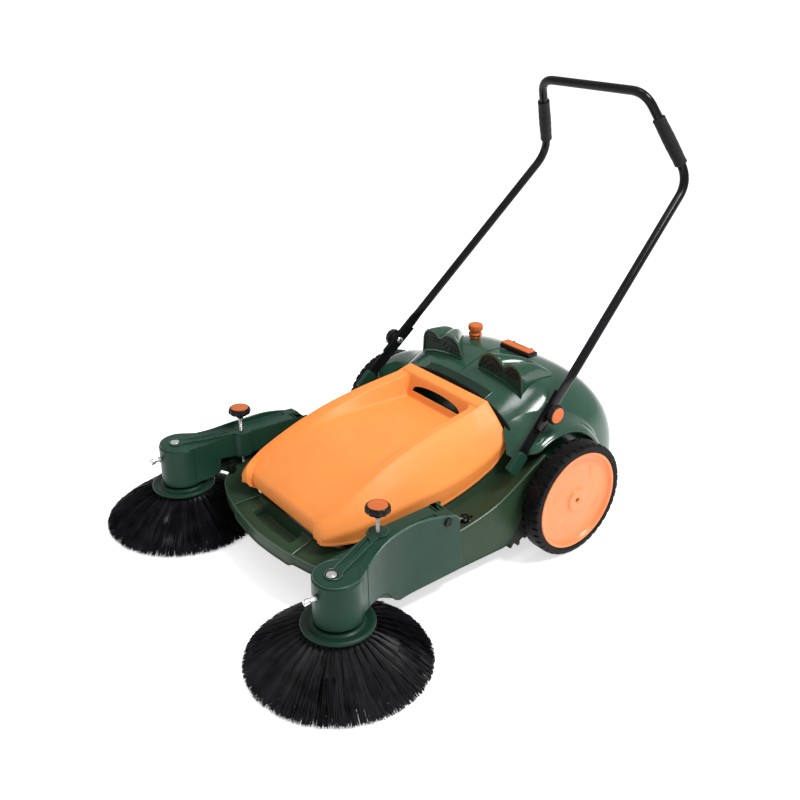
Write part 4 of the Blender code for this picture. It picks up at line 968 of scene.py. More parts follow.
def make_hood():
    """Rear hood with its seal and seam, the strip behind the lid, the apron and the fenders."""
    places = spaced(HOOD_FRONT_Y, HOOD_REAR_Y * 0.6, 30)
    places += [HOOD_REAR_Y * (0.6 + 0.399 * math.sin(math.pi / 2 * i / 26)) for i in range(1, 27)]
    rows = [hood_row(y) for y in places]
    front = rows[0]
    wall = [(x * 0.96, y + 0.01, max(HOOD_BASE_Z + 0.002, z - 0.095)) for x, y, z in front]
    tail = [(x, y, HOOD_BASE_Z + 0.0006) for x, y, z in rows[-1]]
    sheet = grid_sheet([wall] + rows + [tail])
    sleeve = lathe(pin_profile(0.022, -ACROSS, ACROSS), (0, 0, AXLE_Z), X_AXIS, 32)
    inner, ahead, rear, slant = 0.203, -0.13, -0.0385, 0.007
    corners = prism([(-ACROSS, ahead), (ACROSS, ahead), (ACROSS, rear + slant), (inner, rear),
                     (inner, ahead + 0.01), (-inner, ahead + 0.01), (-inner, rear),
                     (-ACROSS, rear + slant)], 0.05, 0.264)
    hole = lathe(pin_profile(0.0125, -0.05, 0.05), FILLER, Z_AXIS, 32)
    bm = carve(sheet, [("DIFFERENCE", shape) for shape in (sleeve, corners, hole)], SHELL)
    # bead that stiffens the lower edge
    base_line = []
    for i in range(90):
        y = -0.02 + (HOOD_REAR_Y * 0.999 + 0.02) * math.sin(math.pi / 2 * i / 89)
        base_line.append((hood_section(y)[0] - 0.0006, y, HOOD_BASE_Z + 0.0028))
    loop = base_line + [(-x, y, z) for x, y, z in reversed(base_line)]
    add_tube(bm, loop, 0.003, 8)
    make_piece("hood_cover", outward(bm), "green_hood", "chassis", "rear_hood",
               smooth=40.0)
    seal = [(x * 0.999, y + 0.0006, z + 0.003) for x, y, z in front if z > 0.262]
    make_piece("hood_seal", add_tube(bmesh.new(), seal, 0.0044, 10), "seal", "chassis")
    seam = [(0.0, y, hood_height(0.0, y) + 0.0002) for y in spaced(-0.05, 0.282, 60)]
    make_piece("hood_seam", add_tube(bmesh.new(), seam, 0.0009, 6), "vent_face", "chassis")
    # darker strip behind the lid and the low step round it
    left, right, front_y, rear_y = -0.105, 0.12, -0.083, -0.059
    stops = spaced(left, right, 40)
    strip = [[(x, y, hood_height(x, y) + 0.0007) for x in stops]
             for y in spaced(front_y, rear_y, 6)]
    make_piece("hood_recess", carve(grid_sheet(strip), [], 0.001), "vent_face", "chassis")
    path = [(left, front_y)] + [(x, rear_y) for x in stops]
    path += [(right, rear_y - 0.012), (right, front_y)]
    path = [(x, y, hood_height(x, y) + 0.0006) for x, y in path]
    make_piece("hood_step", add_tube(bmesh.new(), path, 0.0021, 10), "green_hood", "chassis")
    make_apron()
    for side in (1, -1):
        make_fender(side)
        make_side_wall(side)


def make_fender(side):
    """Flare of the hood that comes out over the wheel and ends in a rolled lip."""
    rows = []
    for along in spaced(0.0, 1.0, 64):
        turn = math.radians(10 + 128 * along)
        end = smoothstep(0.0, 0.16, along) * smoothstep(1.0, 0.86, along)
        row = []
        for radius, reach in ((0.176, 0.0), (0.169, 0.1), (0.162, 0.45), (0.156, 0.8),
                              (0.151, 0.97), (0.148, 1.0), (0.1455, 0.985)):
            radius = 0.15 + (radius - 0.15) * (0.35 + 0.65 * end)
            y, z = radius * math.cos(turn), AXLE_Z + radius * math.sin(turn)
            wall = hood_side(y, z) - 0.001
            row.append((wall + (FENDER_X - wall) * reach * (0.3 + 0.7 * end), y, z))
        rows.append(row)
    bm = carve(grid_sheet(rows), [], 0.0022)
    make_piece("wheel_fender", bm, "green_hood", "chassis",
               side=side, smooth=50.0)
    lip = [(row[5][0] + 0.0002, row[5][1], row[5][2]) for row in rows]
    make_piece("fender_lip", add_tube(bmesh.new(), lip, 0.0024, 10), "green_hood",
               "chassis", side=side)


def make_apron():
    """Dark wall that closes the front of the hood behind the hopper."""
    half = 0.269
    bm = rounded_box((-half, APRON_Y - 0.001, 0.129), (half, APRON_Y + 0.001, 0.275), 0.0008, 2)
    make_piece("hood_apron", bm, "seal", "chassis")


def make_side_wall(side):
    """Green wall that climbs from the tray to the lid's lower edge and tucks in under it."""
    rows = []
    for y in spaced(-0.44, APRON_Y - 0.0017, 48):
        top = max(blend(LID_LOW_HEIGHTS, y) + 0.0065, blend(BAY_HEIGHTS, y) + 0.004)
        low = blend(BAY_HEIGHTS, y) - 0.004
        top_x = 0.2085 - 0.004 * smoothstep(-0.15, -0.095, y)
        points = [(top_x - 0.003, y, top), (top_x, y, top), (0.212, y, 0.5 * (top + low)),
                  (0.2215, y, low)]
        rows.append(soften(points, [0.0, 0.0012, 0.012, 0.0], 4))
    make_piece("side_wall", carve(grid_sheet(rows), [], 0.0012), "green_chassis",
               "chassis", side=side, smooth=40.0)


def make_socket(side):
    """Rounded green flap that holds the foot of the handle's bar."""
    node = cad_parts["bar_socket_left"]
    centre = sum((v.co for v in node.data.vertices), Vector()) / len(node.data.vertices)
    centre.y -= AXLE_Y
    slope = Vector((0.0, HANDLE_PIVOT.y - centre.y, HANDLE_PIVOT.z - centre.z)).normalized()
    ahead = X_AXIS.cross(slope)
    corners = [(-0.018, -0.03), (0.018, -0.03), (0.017, 0.023), (-0.017, 0.023)]
    outline = soften([(a, b, 0.0) for a, b in corners], [0.003, 0.003, 0.012, 0.012], 6, True)
    flat = [centre + ahead * a + slope * b for a, b, _ in outline]
    bm = prism([(p.y, p.z) for p in flat], centre.x - 0.0068, centre.x + 0.0068, "x")
    make_piece("socket_flap", bm, "green", "chassis", "bar_socket",
               side, bevel=0.003)


# (middle in x, radius, top, first and last angle) of a cowl's two arches
VENT_ARCHES = ((0.147, 0.035, 0.4095, 0, 138), (0.076, 0.046, 0.416, 42, 180))


def vent_arch():
    """Double arch of a cowl's front in (x, z), from its outer foot to its inner foot."""
    points = []
    for centre, half, top, start, stop in VENT_ARCHES:
        points += arc((centre, top - half), half, spaced(start, stop, 26))
    return points


def make_vents(side):
    """Twin-arched cowl that runs out to a point behind, its front face sunk inside a rim."""
    arch = vent_arch()
    outer_x, inner_x = arch[0][0], arch[-1][0]
    clearance = 0.0016
    bm = bmesh.new()
    rings = []
    for along in spaced(0.0, 1.0, 28):
        y = VENT_FRONT_Y + 0.0005 + (VENT_TAIL_Y - VENT_FRONT_Y) * along
        middle = 0.115 + 0.047 * along
        narrow = 1.0 - 0.9 * along ** 0.75
        low = (1.0 - along) ** 0.9 + 0.05 * along
        feet = spaced(inner_x, outer_x, 24)[1:-1]
        ring = []
        for x, z in arch + [(foot, None) for foot in feet]:
            here = middle + (x - 0.115) * narrow
            rise = 0.0
            if z is not None:
                rise = (z - hood_height(x, VENT_FRONT_Y)) * low
                rise = max(rise, 0.003) if outer_x > x > inner_x else 0.0
            ring.append(bm.verts.new((here, y, hood_height(here, y) + clearance + rise)))
        rings.append(ring)
    bridge(bm, rings)
    face = bm.faces.new(rings[0])
    bm.faces.new(list(reversed(rings[-1])))
    outward(bm)
    for thick, sink in ((0.0014, 0.0014), (0.0038, 0.0), (0.0012, -0.004)):
        bmesh.ops.inset_region(bm, faces=[face], thickness=thick, depth=sink)
    face.material_index = 1
    make_piece("vent_hood", bm, ["green_hood", "vent_face"], "chassis",
               "vent_cowl", side, smooth=35.0)
    lines = bmesh.new()
    face_y = VENT_FRONT_Y + 0.0022
    for centre, half, top, _, _ in VENT_ARCHES:
        middle_z = top - half - 0.002
        for share, wide in ((0.7, 0.003), (0.43, 0.0027)):
            curve = arc((centre, middle_z), share * half, spaced(22, 158, 40))
            line = [(x, face_y, z) for x, z in curve if z > hood_height(x, VENT_FRONT_Y) + 0.004]
            if len(line) > 4:
                add_tube(lines, line, wide, 8, flat=0.55, up=Vector((0, 1, 0)))
        dot = soften([(0.0, -0.0012), (0.006, -0.0012), (0.006, 0.0006), (0.0, 0.0012)], 0.0008)
        dot_z = max(middle_z + 0.01, hood_height(centre, VENT_FRONT_Y) + 0.008)
        add_lathe(lines, dot, (centre, face_y, dot_z), (0, -1, 0), 24)
    make_piece("vent_slots", outward(lines), "black", "chassis", side=side)


def make_filler():
    """Filler neck and its ribbed screw cap with a small lug."""
    bore, spout = 0.0095, 0.0118
    neck = [(bore, -0.05), (spout, -0.05), (spout, 0.0), (0.0152, 0.0), (0.0152, 0.0045),
            (spout, 0.006), (spout, 0.0175), (bore, 0.018)]
    bm = turned(list(reversed(neck)), 0.0008, FILLER, Z_AXIS, 64, 3, True)
    make_piece("filler_spout", bm, "insert", "chassis", "filler_neck")
    inside = spout + GAP
    cap = [(inside, 0.0085), (0.0176, 0.0085, 0.0), (0.0176, 0.012), (0.015, 0.0135),
           (0.0146, 0.015), (0.0152, 0.0162), (0.0146, 0.0174), (0.015, 0.0195),
           (0.0186, 0.0215, 0.0007), (0.0192, 0.0235, 0.0009), (0.0192, 0.032, 0.0009),
           (0.018, 0.0355, 0.0006), (0.013, 0.0374), (0.0105, 0.0366), (0.0, 0.0368)]
    rows = knob_rows(cap, 0.0008, 3) + [(0.0, 0.019, 0.0), (inside, 0.019, 0.0)]
    bm = lathe(rows, FILLER, Z_AXIS, 144, True, lobes=24, power=2.0)
    lug = rounded_box((FILLER.x + 0.013, FILLER.y - 0.0035, FILLER.z + 0.0095),
                      (FILLER.x + 0.0215, FILLER.y + 0.0035, FILLER.z + 0.0135), 0.0012)
    merge(bm, lug)
    make_piece("filler_screw_cap", outward(bm), "insert", "filler_cap", "filler_cap")


def make_latch():
    """Catch on the hood: black body, orange lever with three grip bars."""
    low = (LATCH.x - LATCH_HALF, LATCH.y, LATCH.z - 0.0015)
    base = rounded_box(low, (LATCH.x + LATCH_HALF, LATCH.y + 0.034, LATCH.z + 0.0098), 0.003, 4)
    for place in (-0.62, 0.62):
        x = LATCH.x + place * LATCH_HALF
        merge(base, rounded_box((x - 0.004, LATCH.y + 0.029, LATCH.z + 0.004),
                                (x + 0.004, LATCH.y + 0.0338, LATCH.z + 0.0135), 0.0012))
    make_piece("latch_body", base, "black", "chassis", "latch_base")
    lever = rounded_box((LATCH.x - LATCH_HALF + 0.002, LATCH.y + 0.0015, LATCH.z + 0.0104),
                        (LATCH.x + LATCH_HALF - 0.002, LATCH.y + 0.0275, LATCH.z + 0.015),
                        0.0018, 4)
    for place in (-0.3, 0.0, 0.3):
        x = LATCH.x + place * LATCH_HALF
        merge(lever, rounded_box((x - 0.009, LATCH.y + 0.02, LATCH.z + 0.014),
                                 (x + 0.009, LATCH.y + 0.0225, LATCH.z + 0.0162), 0.0008))
    make_piece("latch_bar", lever, "insert", "latch_lever", "latch_lever")


# ---------------------------------------------------------------- side arms
def deck_height(y):
    """Height of the arm's upper face."""
    return blend([(-0.598, 0.2064), (-0.545, 0.2165), (-0.346, 0.2165)], y)


def rib_outline():
    """Plan of the raised rib: round the boss's bolt, narrow along the beam, round the pad."""
    start, end = Vector((BOSS.x, BOLT_Y + 0.004)), Vector((ADJUSTER.x + 0.001, ADJUSTER.y))
    heading = math.degrees(math.atan2(end.y - start.y, end.x - start.x))
    points = []
    for centre, radius, spread, base in ((start, 0.0175, 142, heading + 180.0),
                                         (end, 0.0212, 146, heading)):
        points += arc(centre, radius, spaced(base - spread, base + spread, 28))
    return points


def arm_shape():
    """The CAD casting with a raised rib, a slot along its plate and three notches behind."""
    bm = bmesh.new()
    bm.from_mesh(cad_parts["side_arm_left"].data)
    bmesh.ops.translate(bm, vec=(0.0, -AXLE_Y, 0.0), verts=bm.verts)
    bmesh.ops.remove_doubles(bm, verts=bm.verts, dist=0.00002)
    rise = 0.0026
    view = [(-0.7, 0.19), (-0.48, 0.19), (-0.48, deck_height(-0.48) + rise),
            (-0.545, deck_height(-0.545) + rise), (-0.598, deck_height(-0.598) + rise),
            (-0.7, deck_height(-0.7) + rise)]
    rib = carve(prism(rib_outline(), 0.15, 0.26),
                [("INTERSECT", prism(view, 0.2, 0.4, "x"))])
    keep_out = lathe(pin_profile(0.0125, -0.012, 0.03), (BOSS.x, BOLT_Y, BOSS_TOP), Z_AXIS, 32)
    screw = lathe(pin_profile(0.0046, 0.1, 0.27), (ADJUSTER.x, ADJUSTER.y, 0), Z_AXIS, 24)
    bm = carve(bm, [("UNION", rib)])
    bmesh.ops.remove_doubles(bm, verts=bm.verts, dist=0.00003)
    bmesh.ops.dissolve_limit(bm, angle_limit=math.radians(1.0), verts=bm.verts, edges=bm.edges)
    middle = Vector((0.5 * (BOSS.x + ADJUSTER.x), 0.5 * (BOLT_Y + ADJUSTER.y)))
    long_way = Vector((ADJUSTER.x - BOSS.x, ADJUSTER.y - BOLT_Y)).normalized()
    across = Vector((-long_way.y, long_way.x))
    inset = [middle + long_way * a + across * b
             for a, b in ((-0.04, 0.0012), (0.046, 0.0012), (0.046, 0.0034), (-0.04, 0.0034))]
    line = prism([(p.x, p.y) for p in inset], 0.2075, 0.26)
    slot = rounded_box((0.297, -0.446, 0.2126), (0.3085, -0.38, 0.25), 0.002)
    notches = [rounded_box((0.264, y - 0.0024, 0.213), (0.293, y + 0.0024, 0.25), 0.0004, 1)
               for y in (-0.352, -0.361, -0.37)]
    made = carve(bm, [("DIFFERENCE", shape) for shape in [keep_out, screw, line, slot] + notches])
    bmesh.ops.remove_doubles(made, verts=made.verts, dist=0.00003)
    bmesh.ops.dissolve_limit(made, angle_limit=math.radians(1.0), verts=made.verts,
                             edges=made.edges)
    bmesh.ops.dissolve_degenerate(made, edges=made.edges, dist=0.00005)
    # the plate's outer face follows a curve instead of the CAD's few flats
    for i in range(26):
        bmesh.ops.bisect_plane(made, geom=made.verts[:] + made.edges[:] + made.faces[:],
                               plane_co=(0.0, -0.612 + 0.0074 * i, 0.0), plane_no=(0.0, 1.0, 0.0))
    curve = plate_curve(True)
    flats = plate_curve(False)
    for vert in made.verts:
        if vert.co.x > 0.3085 and -0.612 < vert.co.y < -0.4:
            shift = blend(curve, vert.co.y) - blend(flats, vert.co.y)
            near = smoothstep(0.022, 0.008, abs(blend(flats, vert.co.y) - vert.co.x))
            vert.co.x += shift * near
    return made


def inner_wall():
    """Wall on the arm's inner side, from its rear end round the adjuster's pad to the boss."""
    plan = [(0.2615, -0.334)] + arc(ADJUSTER, 0.0243, range(125, 256, 10))
    plan += [(0.285, -0.585), (0.285, -0.64)]
    wall = prism(plan + [(x + 0.0034, y) for x, y in reversed(plan)], 0.1, 0.23)
    view = [(-0.65, 0.112), (-0.6, 0.114), (-0.576, 0.122), (-0.573, 0.158), (-0.32, 0.158),
            (-0.32, 0.2148), (-0.545, 0.2148), (-0.598, 0.2045), (-0.65, 0.2045)]
    return carve(wall, [("INTERSECT", prism(view, 0.2, 0.4, "x"))])


def plate_curve(smooth):
    """Plan of the plate's outer face as (y, x) pairs, in flats or with the corners rounded."""
    edge = [(0.362, -0.604, 0.0), (0.343, -0.57, 0.0), (0.3285, -0.53, 0.0),
            (ARM_OUTER_X, -0.47, 0.0), (ARM_OUTER_X, -0.305, 0.0)]
    if smooth:
        edge = soften(edge, [0.0, 0.02, 0.024, 0.035, 0.0], 10)
    return sorted((y, x) for x, y, _ in edge)


def make_arm(side, shape):
    """Arm casting with its rim beads in a lighter green as painted highlight, inner wall, pivot
    pin, bolt and nozzle.
    """
    arm = make_piece("arm_casting", shape.copy(), "green", "arm",
                     "side_arm", side, smooth=40.0, bevel=0.001)
    arm.data.validate()
    arm.modifiers["soft_edges"].harden_normals = False
    arm.modifiers["soft_edges"].use_clamp_overlap = False
    arm.modifiers.new("even_normals", "WEIGHTED_NORMAL").keep_sharp = True
    curve = plate_curve(True)
    top = [(-0.325, 0.19), (-0.3265, 0.1965), (-0.3365, 0.2072), (-0.386, 0.2212),
           (-0.437, 0.2297), (-0.518, 0.2247), (-0.572, 0.2107), (-0.593, 0.206)]
    rim = soften([(0.0, y, z) for y, z in top],
                 [0.0, 0.004, 0.006, 0.03, 0.03, 0.03, 0.015, 0.0], 6)
    rim = [(blend(curve, y) - 0.0014, y, z - 0.0008) for _, y, z in rim]
    beads = add_tube(bmesh.new(), rim, 0.0023, 10)
    add_tube(beads, [(x, y, deck_height(y) + 0.0022) for x, y in rib_outline()], 0.0014, 8, True)
    edge = [(x, y, BOSS_TOP - 0.0016) for x, y in arc(BOSS, 0.0462, range(140, 386, 5))]
    add_tube(beads, edge, 0.0016, 8)
    # the beads are coloured lighter than the casting: painted highlight
    make_piece("arm_rim", beads, "green_rim", "arm", side=side)
    make_piece("arm_cheek", inner_wall(), "green", "arm", side=side)
    start = ARM_OUTER_X - 0.016
    face = 0.016 + GAP
    pin = [(0.0, 0.0), (0.0055, 0.0), (0.0055, face), (0.01, face), (0.01, face + 0.0032),
           (0.0084, face + 0.0048), (0.004, face + 0.0051), (0.0032, face + 0.0036),
           (0.0, face + 0.0036)]
    make_piece("arm_pin",
               turned(pin, 0.0006, (start, ARM_PIVOT.y, ARM_PIVOT.z), X_AXIS, 48),
               "black", "arm", "arm_pivot_pin", side)
    bolt = [(0.0, 0.0), (0.004, 0.0), (0.004, 0.0079), (0.011, 0.0079), (0.0112, 0.0098),
            (0.01, 0.0118), (0.006, 0.0132), (0.0, 0.0136)]
    make_piece("boss_screw",
               turned(bolt, 0.0008, (BOSS.x, BOLT_Y, BOSS_TOP - 0.0075), Z_AXIS, 48),
               "chrome", "arm", "boss_bolt", side)
    make_nozzle(side)


def make_nozzle(side):
    """Water nozzle: hexagonal root, barrel with a waist, knurled tip with a cross hole."""
    bm = bmesh.new()
    barrel = [(0.0, 0.0), (0.004, 0.0), (0.004, 0.0075), (0.0046, 0.0125), (0.0046, 0.0215),
              (0.0058, 0.0222), (0.007, 0.0232), (0.007, 0.0318), (0.006, 0.033),
              (0.0036, 0.033), (0.0026, 0.03), (0.0, 0.0296)]
    add_lathe(bm, soften(barrel, 0.0005), NOZZLE_BASE, NOZZLE_AIM, 48)
    nut = [(0.0, 0.0078), (0.0062, 0.0078), (0.0072, 0.0086), (0.0072, 0.0118), (0.0062, 0.0126),
           (0.0, 0.0126)]
    add_lathe(bm, nut, NOZZLE_BASE, NOZZLE_AIM, 6)
    aim = NOZZLE_AIM.normalized()
    cross = NOZZLE_BASE + aim * 0.0272
    add_lathe(bm, soften(pin_profile(0.0022, -0.008, 0.008), 0.0004), cross, (0.35, 0.0, 1.0),
              20)
    make_piece("nozzle", bm, "chrome", "arm", "spray_nozzle", side, smooth=30.0)


def make_adjuster(side):
    """Threaded rod and its fluted knob with an orange plate on top."""
    body = "adjuster"
    bm = bmesh.new()
    low, high, pitch, sides = ADJUSTER_LOW, KNOB_TOP_Z - KNOB_HEIGHT + 0.0096, 0.0015, 20
    rings = []
    for z in spaced(low, high, int((high - low) / pitch * 5)):
        fade = smoothstep(0.0, 0.002, z - low)
        ring = []
        for k in range(sides):
            turn = math.tau * k / sides
            wave = 0.5 + 0.5 * math.cos(math.tau * z / pitch - turn)
            reach = 0.00335 + 0.00062 * wave * fade
            ring.append(bm.verts.new((ADJUSTER.x + reach * math.cos(turn),
                                      ADJUSTER.y + reach * math.sin(turn), z)))
        rings.append(ring)
    bridge(bm, rings, ends=True)
    make_piece("threaded_rod", bm, "steel", body, "adjuster_screw", side, smooth=60.0)
    base = (ADJUSTER.x, ADJUSTER.y, KNOB_TOP_Z - KNOB_HEIGHT)
    bore = 0.004 + GAP
    knob = [(bore, 0.0), (0.008, 0.0), (0.0088, 0.003), (0.0092, 0.0078), (0.015, 0.01),
            (0.0245, 0.0126, 0.0016), (0.0273, 0.0165, 0.0022), (0.0273, 0.0205, 0.0022),
            (0.025, 0.0262, 0.0012), (0.0222, 0.0284), (0.0212, 0.027), (0.0, 0.027)]
    rows = knob_rows(knob) + [(0.0, 0.0104, 0.0), (bore, 0.0104, 0.0)]
    make_piece("knob_body", lathe(rows, base, Z_AXIS, 160, True, lobes=10, power=2.0),
               "black", body, "adjuster_knob", side)
    plate = [(0.0, 0.0262), (0.0209, 0.0262), (0.0209, 0.0284), (0.0196, 0.029), (0.0, 0.0292)]
    make_piece("knob_plate", turned(plate, 0.0008, base, Z_AXIS, 96), "insert",
               body, side=side)


# ---------------------------------------------------------------- side brushes
def make_side_brush(side):
    """Flange, bristle plate and three rings of tufts that lean and spread outwards."""
    body = "brush"
    centre = Vector((BOSS.x, BOSS.y, 0.0))
    top = FLANGE_TOP_Z
    bore = 0.006 + GAP
    flange = [(bore, top - 0.013), (FLANGE_RADIUS - 0.0085, top - 0.013),
              (FLANGE_RADIUS - 0.001, top - 0.0095), (FLANGE_RADIUS, top - 0.007),
              (FLANGE_RADIUS - 0.0006, top - 0.0028), (FLANGE_RADIUS - 0.005, top - 0.0008),
              (FLANGE_RADIUS - 0.01, top - 0.0014), (0.057, top - 0.0034),
              (0.054, top - 0.0026), (0.0515, top - 0.0002), (0.048, top), (0.044, top - 0.0004),
              (bore, top - 0.0004)]
    make_piece("brush_collar",
               lathe(soften(flange, 0.0014, 4, True), centre, Z_AXIS, 96, True), "green_flange",
               body, "brush_flange", side)

    draw = random.Random(7 if side > 0 else 8)
    bm = bmesh.new()
    layer = bm.verts.layers.float.new("shade")
    disc_top = top - 0.013 - GAP
    plate = [(bore, disc_top), (bore, disc_top - 0.013), (0.056, disc_top - 0.014),
             (0.1, 0.048), (0.156, 0.013), (0.16, 0.0165), (0.14, 0.042),
             (0.1, 0.064), (0.069, disc_top - 0.003), (0.067, disc_top)]
    add_lathe(bm, plate, (0, 0, 0), Z_AXIS, 64, True)
    tufts, layers, filaments, reach = 38, 3, 42, BRUSH_RADIUS - 0.0012
    for ring in range(layers):
        for tuft in range(tufts):
            heading = math.tau * (tuft + 0.5 * (ring % 2)) / tufts
            tone = draw.uniform(0.08, 0.45)
            lean = draw.uniform(-0.018, 0.018) + 0.05
            for _ in range(filaments):
                tight = draw.gauss(0.0, 0.36)
                tight = max(-1.0, min(1.0, tight))
                foot_turn = heading + tight * 0.034
                fan = heading + lean + tight * 0.034 + draw.gauss(0.0, 0.052)
                depth = draw.random()
                foot_r = 0.066 - 0.005 * depth - 0.004 * ring
                foot_z = disc_top - 0.0015 - 0.003 * depth - 0.0018 * ring
                low_r = reach - draw.random() ** 2 * 0.011 - 0.006 * ring * draw.random()
                low_z = 0.0042 + 0.006 * draw.random() ** 2 + 0.0015 * ring
                belly = 0.004 * depth + 0.004 * ring
                points = []
                for share in (0.0, 0.18, 0.48, 0.78, 1.0):
                    bend = share ** 1.12
                    radius = foot_r + (low_r - foot_r) * bend
                    bow = math.sin(math.pi * share)
                    z = foot_z + (low_z - foot_z) * share ** 1.45 + 0.0035 * bow - belly * bow
                    radius += 0.004 * bow
                    turn = foot_turn + (fan - foot_turn) * share
                    points.append(Vector((radius * math.cos(turn), radius * math.sin(turn), z)))
                thick = draw.uniform(0.00062, 0.00088)
                shade = tone + draw.uniform(-0.08, 0.12) + (0.25 if draw.random() < 0.05 else 0.0)
                add_bristle(bm, layer, points, [thick, thick, thick, thick, thick * 0.9],
                            max(0.0, shade))
    bmesh.ops.translate(bm, vec=centre, verts=bm.verts)
    make_piece("brush_bristles", bm, "bristle", body, "side_brush",
               side, smooth=70.0)


# ---------------------------------------------------------------- handle
def handle_path():
    """Half of the tube's line, as (point, how flat), from its flattened end to the middle."""
    pivot = Vector((HANDLE_X, HANDLE_PIVOT.y, HANDLE_PIVOT.z))
    direction = (LOW_BEND - pivot).normalized()
    path = [(pivot - direction * 0.05, 0.55), (pivot - direction * 0.049, 0.86),
            (pivot - direction * 0.045, 1.0)]
    path += [(pivot + direction * (0.066 + 0.036 * share), 1.0 - smoothstep(0, 1, share))
             for share in spaced(0.0, 1.0, 8)]
    corners = [(LOW_BEND, direction, (TOP_BEND - LOW_BEND).normalized(), 0.05),
               (TOP_BEND, (TOP_BEND - LOW_BEND).normalized(), Vector((-1.0, 0.0, 0.0)), 0.04)]
    for corner, come, leave, size in corners:
        start, end = corner - come * size, corner + leave * size
        for share in spaced(0.0, 1.0, 18):
            curve = start.lerp(corner, share).lerp(corner.lerp(end, share), share)
            path.append((curve, 0.0))
    path.append((Vector((0.0, TOP_BEND.y, TOP_BEND.z)), 0.0))
    return path


def make_handle():
    """Bent tube, flattened at its lower ends, with the grips and the fixings."""
    left = handle_path()
    points = left + [(Vector((-p.x, p.y, p.z)), flat) for p, flat in reversed(left[:-1])]
    sides = 28
    turns = [math.tau * (i + 0.5) / sides for i in range(sides)]
    rings = []
    bm = bmesh.new()
    last = None
    for index, (point, flat) in enumerate(points):
        before = points[max(index - 1, 0)][0]
        after = points[min(index + 1, len(points) - 1)][0]
        direction = (after - before).normalized()
        normal = Vector((0.0, -direction.z, direction.y))
        if normal.length < 0.2 or abs(direction.x) > 0.6:
            normal = Vector((0.0, -0.873, -0.487))
        normal = (normal - direction * normal.dot(direction)).normalized()
        if last is not None and normal.dot(last) < 0.0:
            normal.negate()
        last = normal
        thick = direction.cross(normal).normalized()
        wide = TUBE_RADIUS + flat * (0.016 - TUBE_RADIUS)
        thin = TUBE_RADIUS + flat * (0.0033 - TUBE_RADIUS)
        rings.append([bm.verts.new(point + normal * a + thick * b) for a, b in
                      [(wide * math.cos(turn), thin * math.sin(turn)) for turn in turns]])
    outward(bridge(bm, rings, ends=True))
    hole = lathe(pin_profile(0.0044, -ACROSS, ACROSS), HANDLE_PIVOT, X_AXIS, 24)
    bm = carve(bm, [("DIFFERENCE", hole)])
    make_piece("handle_bar", bm, "tube", "handle", "handle_tube", smooth=40.0)
    for side in (1, -1):
        make_grip(side)
        make_handle_fixings(side)


def make_grip(side):
    """Foam sleeve, a little fuller in the middle, with its ends drawn in."""
    line = TOP_BEND - LOW_BEND
    length = line.length
    tube_radius = 0.0118  # the CAD's tube, which the sleeve fits round
    inner = tube_radius + GAP
    rows = [(inner, 0.0), (GRIP_RADIUS - 0.0026, 0.0002), (GRIP_RADIUS - 0.0006, 0.002)]
    for share in spaced(0.0, 1.0, 24)[1:-1]:
        ripple = 0.00018 * math.sin(11.0 * math.pi * share) - 0.0005 * math.cos(math.tau * share)
        rows.append((GRIP_RADIUS - 0.0006 + ripple, 0.002 + (GRIP_LENGTH - 0.004) * share))
    rows += [(GRIP_RADIUS - 0.0006, GRIP_LENGTH - 0.002),
             (GRIP_RADIUS - 0.0026, GRIP_LENGTH - 0.0002), (inner, GRIP_LENGTH)]
    start = LOW_BEND + line.normalized() * ((length - GRIP_LENGTH) * 0.42 - 0.003)
    grip = make_piece("foam_grip", lathe(rows, start, line, 48, True), "foam", "handle",
                      "grip", side, smooth=50.0)


def make_handle_fixings(side):
    """Clamp knob with its orange plate, and the bolt through the handle's bracket."""
    pivot = HANDLE_PIVOT
    face_x = HANDLE_X + 0.005
    body = "handle_knob"
    bore = 0.004 + GAP
    knob = [(bore, 0.0), (0.0118, 0.0), (0.0128, 0.0036), (0.018, 0.005),
            (0.022, 0.0066, 0.0008), (0.0229, 0.009, 0.0012), (0.0229, 0.015, 0.0012),
            (0.0216, 0.019, 0.0006), (0.0196, 0.0201), (0.0188, 0.019), (0.0, 0.019)]
    rows = knob_rows(knob) + [(0.0, 0.0125, 0.0), (bore, 0.0125, 0.0)]
    base = (face_x, pivot.y, pivot.z)
    make_piece("pivot_knob", lathe(rows, base, X_AXIS, 144, True, lobes=12, power=2.0),
               "black", body, "handle_knob", side)
    plate = [(0.0, 0.0184), (0.0186, 0.0184), (0.0186, 0.0198), (0.017, 0.0204), (0.0, 0.0206)]
    make_piece("pivot_knob_plate", turned(plate, 0.0007, base, X_AXIS, 96),
               "insert", body, side=side)
    bar_x = HANDLE_X - 0.0063
    head = bar_x - 0.0035 - GAP
    bolt = [(0.0, head - 0.0048), (0.0052, head - 0.0042), (0.0086, head - 0.0016),
            (0.009, head), (0.004, head), (0.004, face_x + 0.0118), (0.0, face_x + 0.0118)]
    make_piece("pivot_bolt",
               turned(bolt, 0.0005, pivot, X_AXIS, 40), "chrome",
               "chassis", "handle_bolt", side)


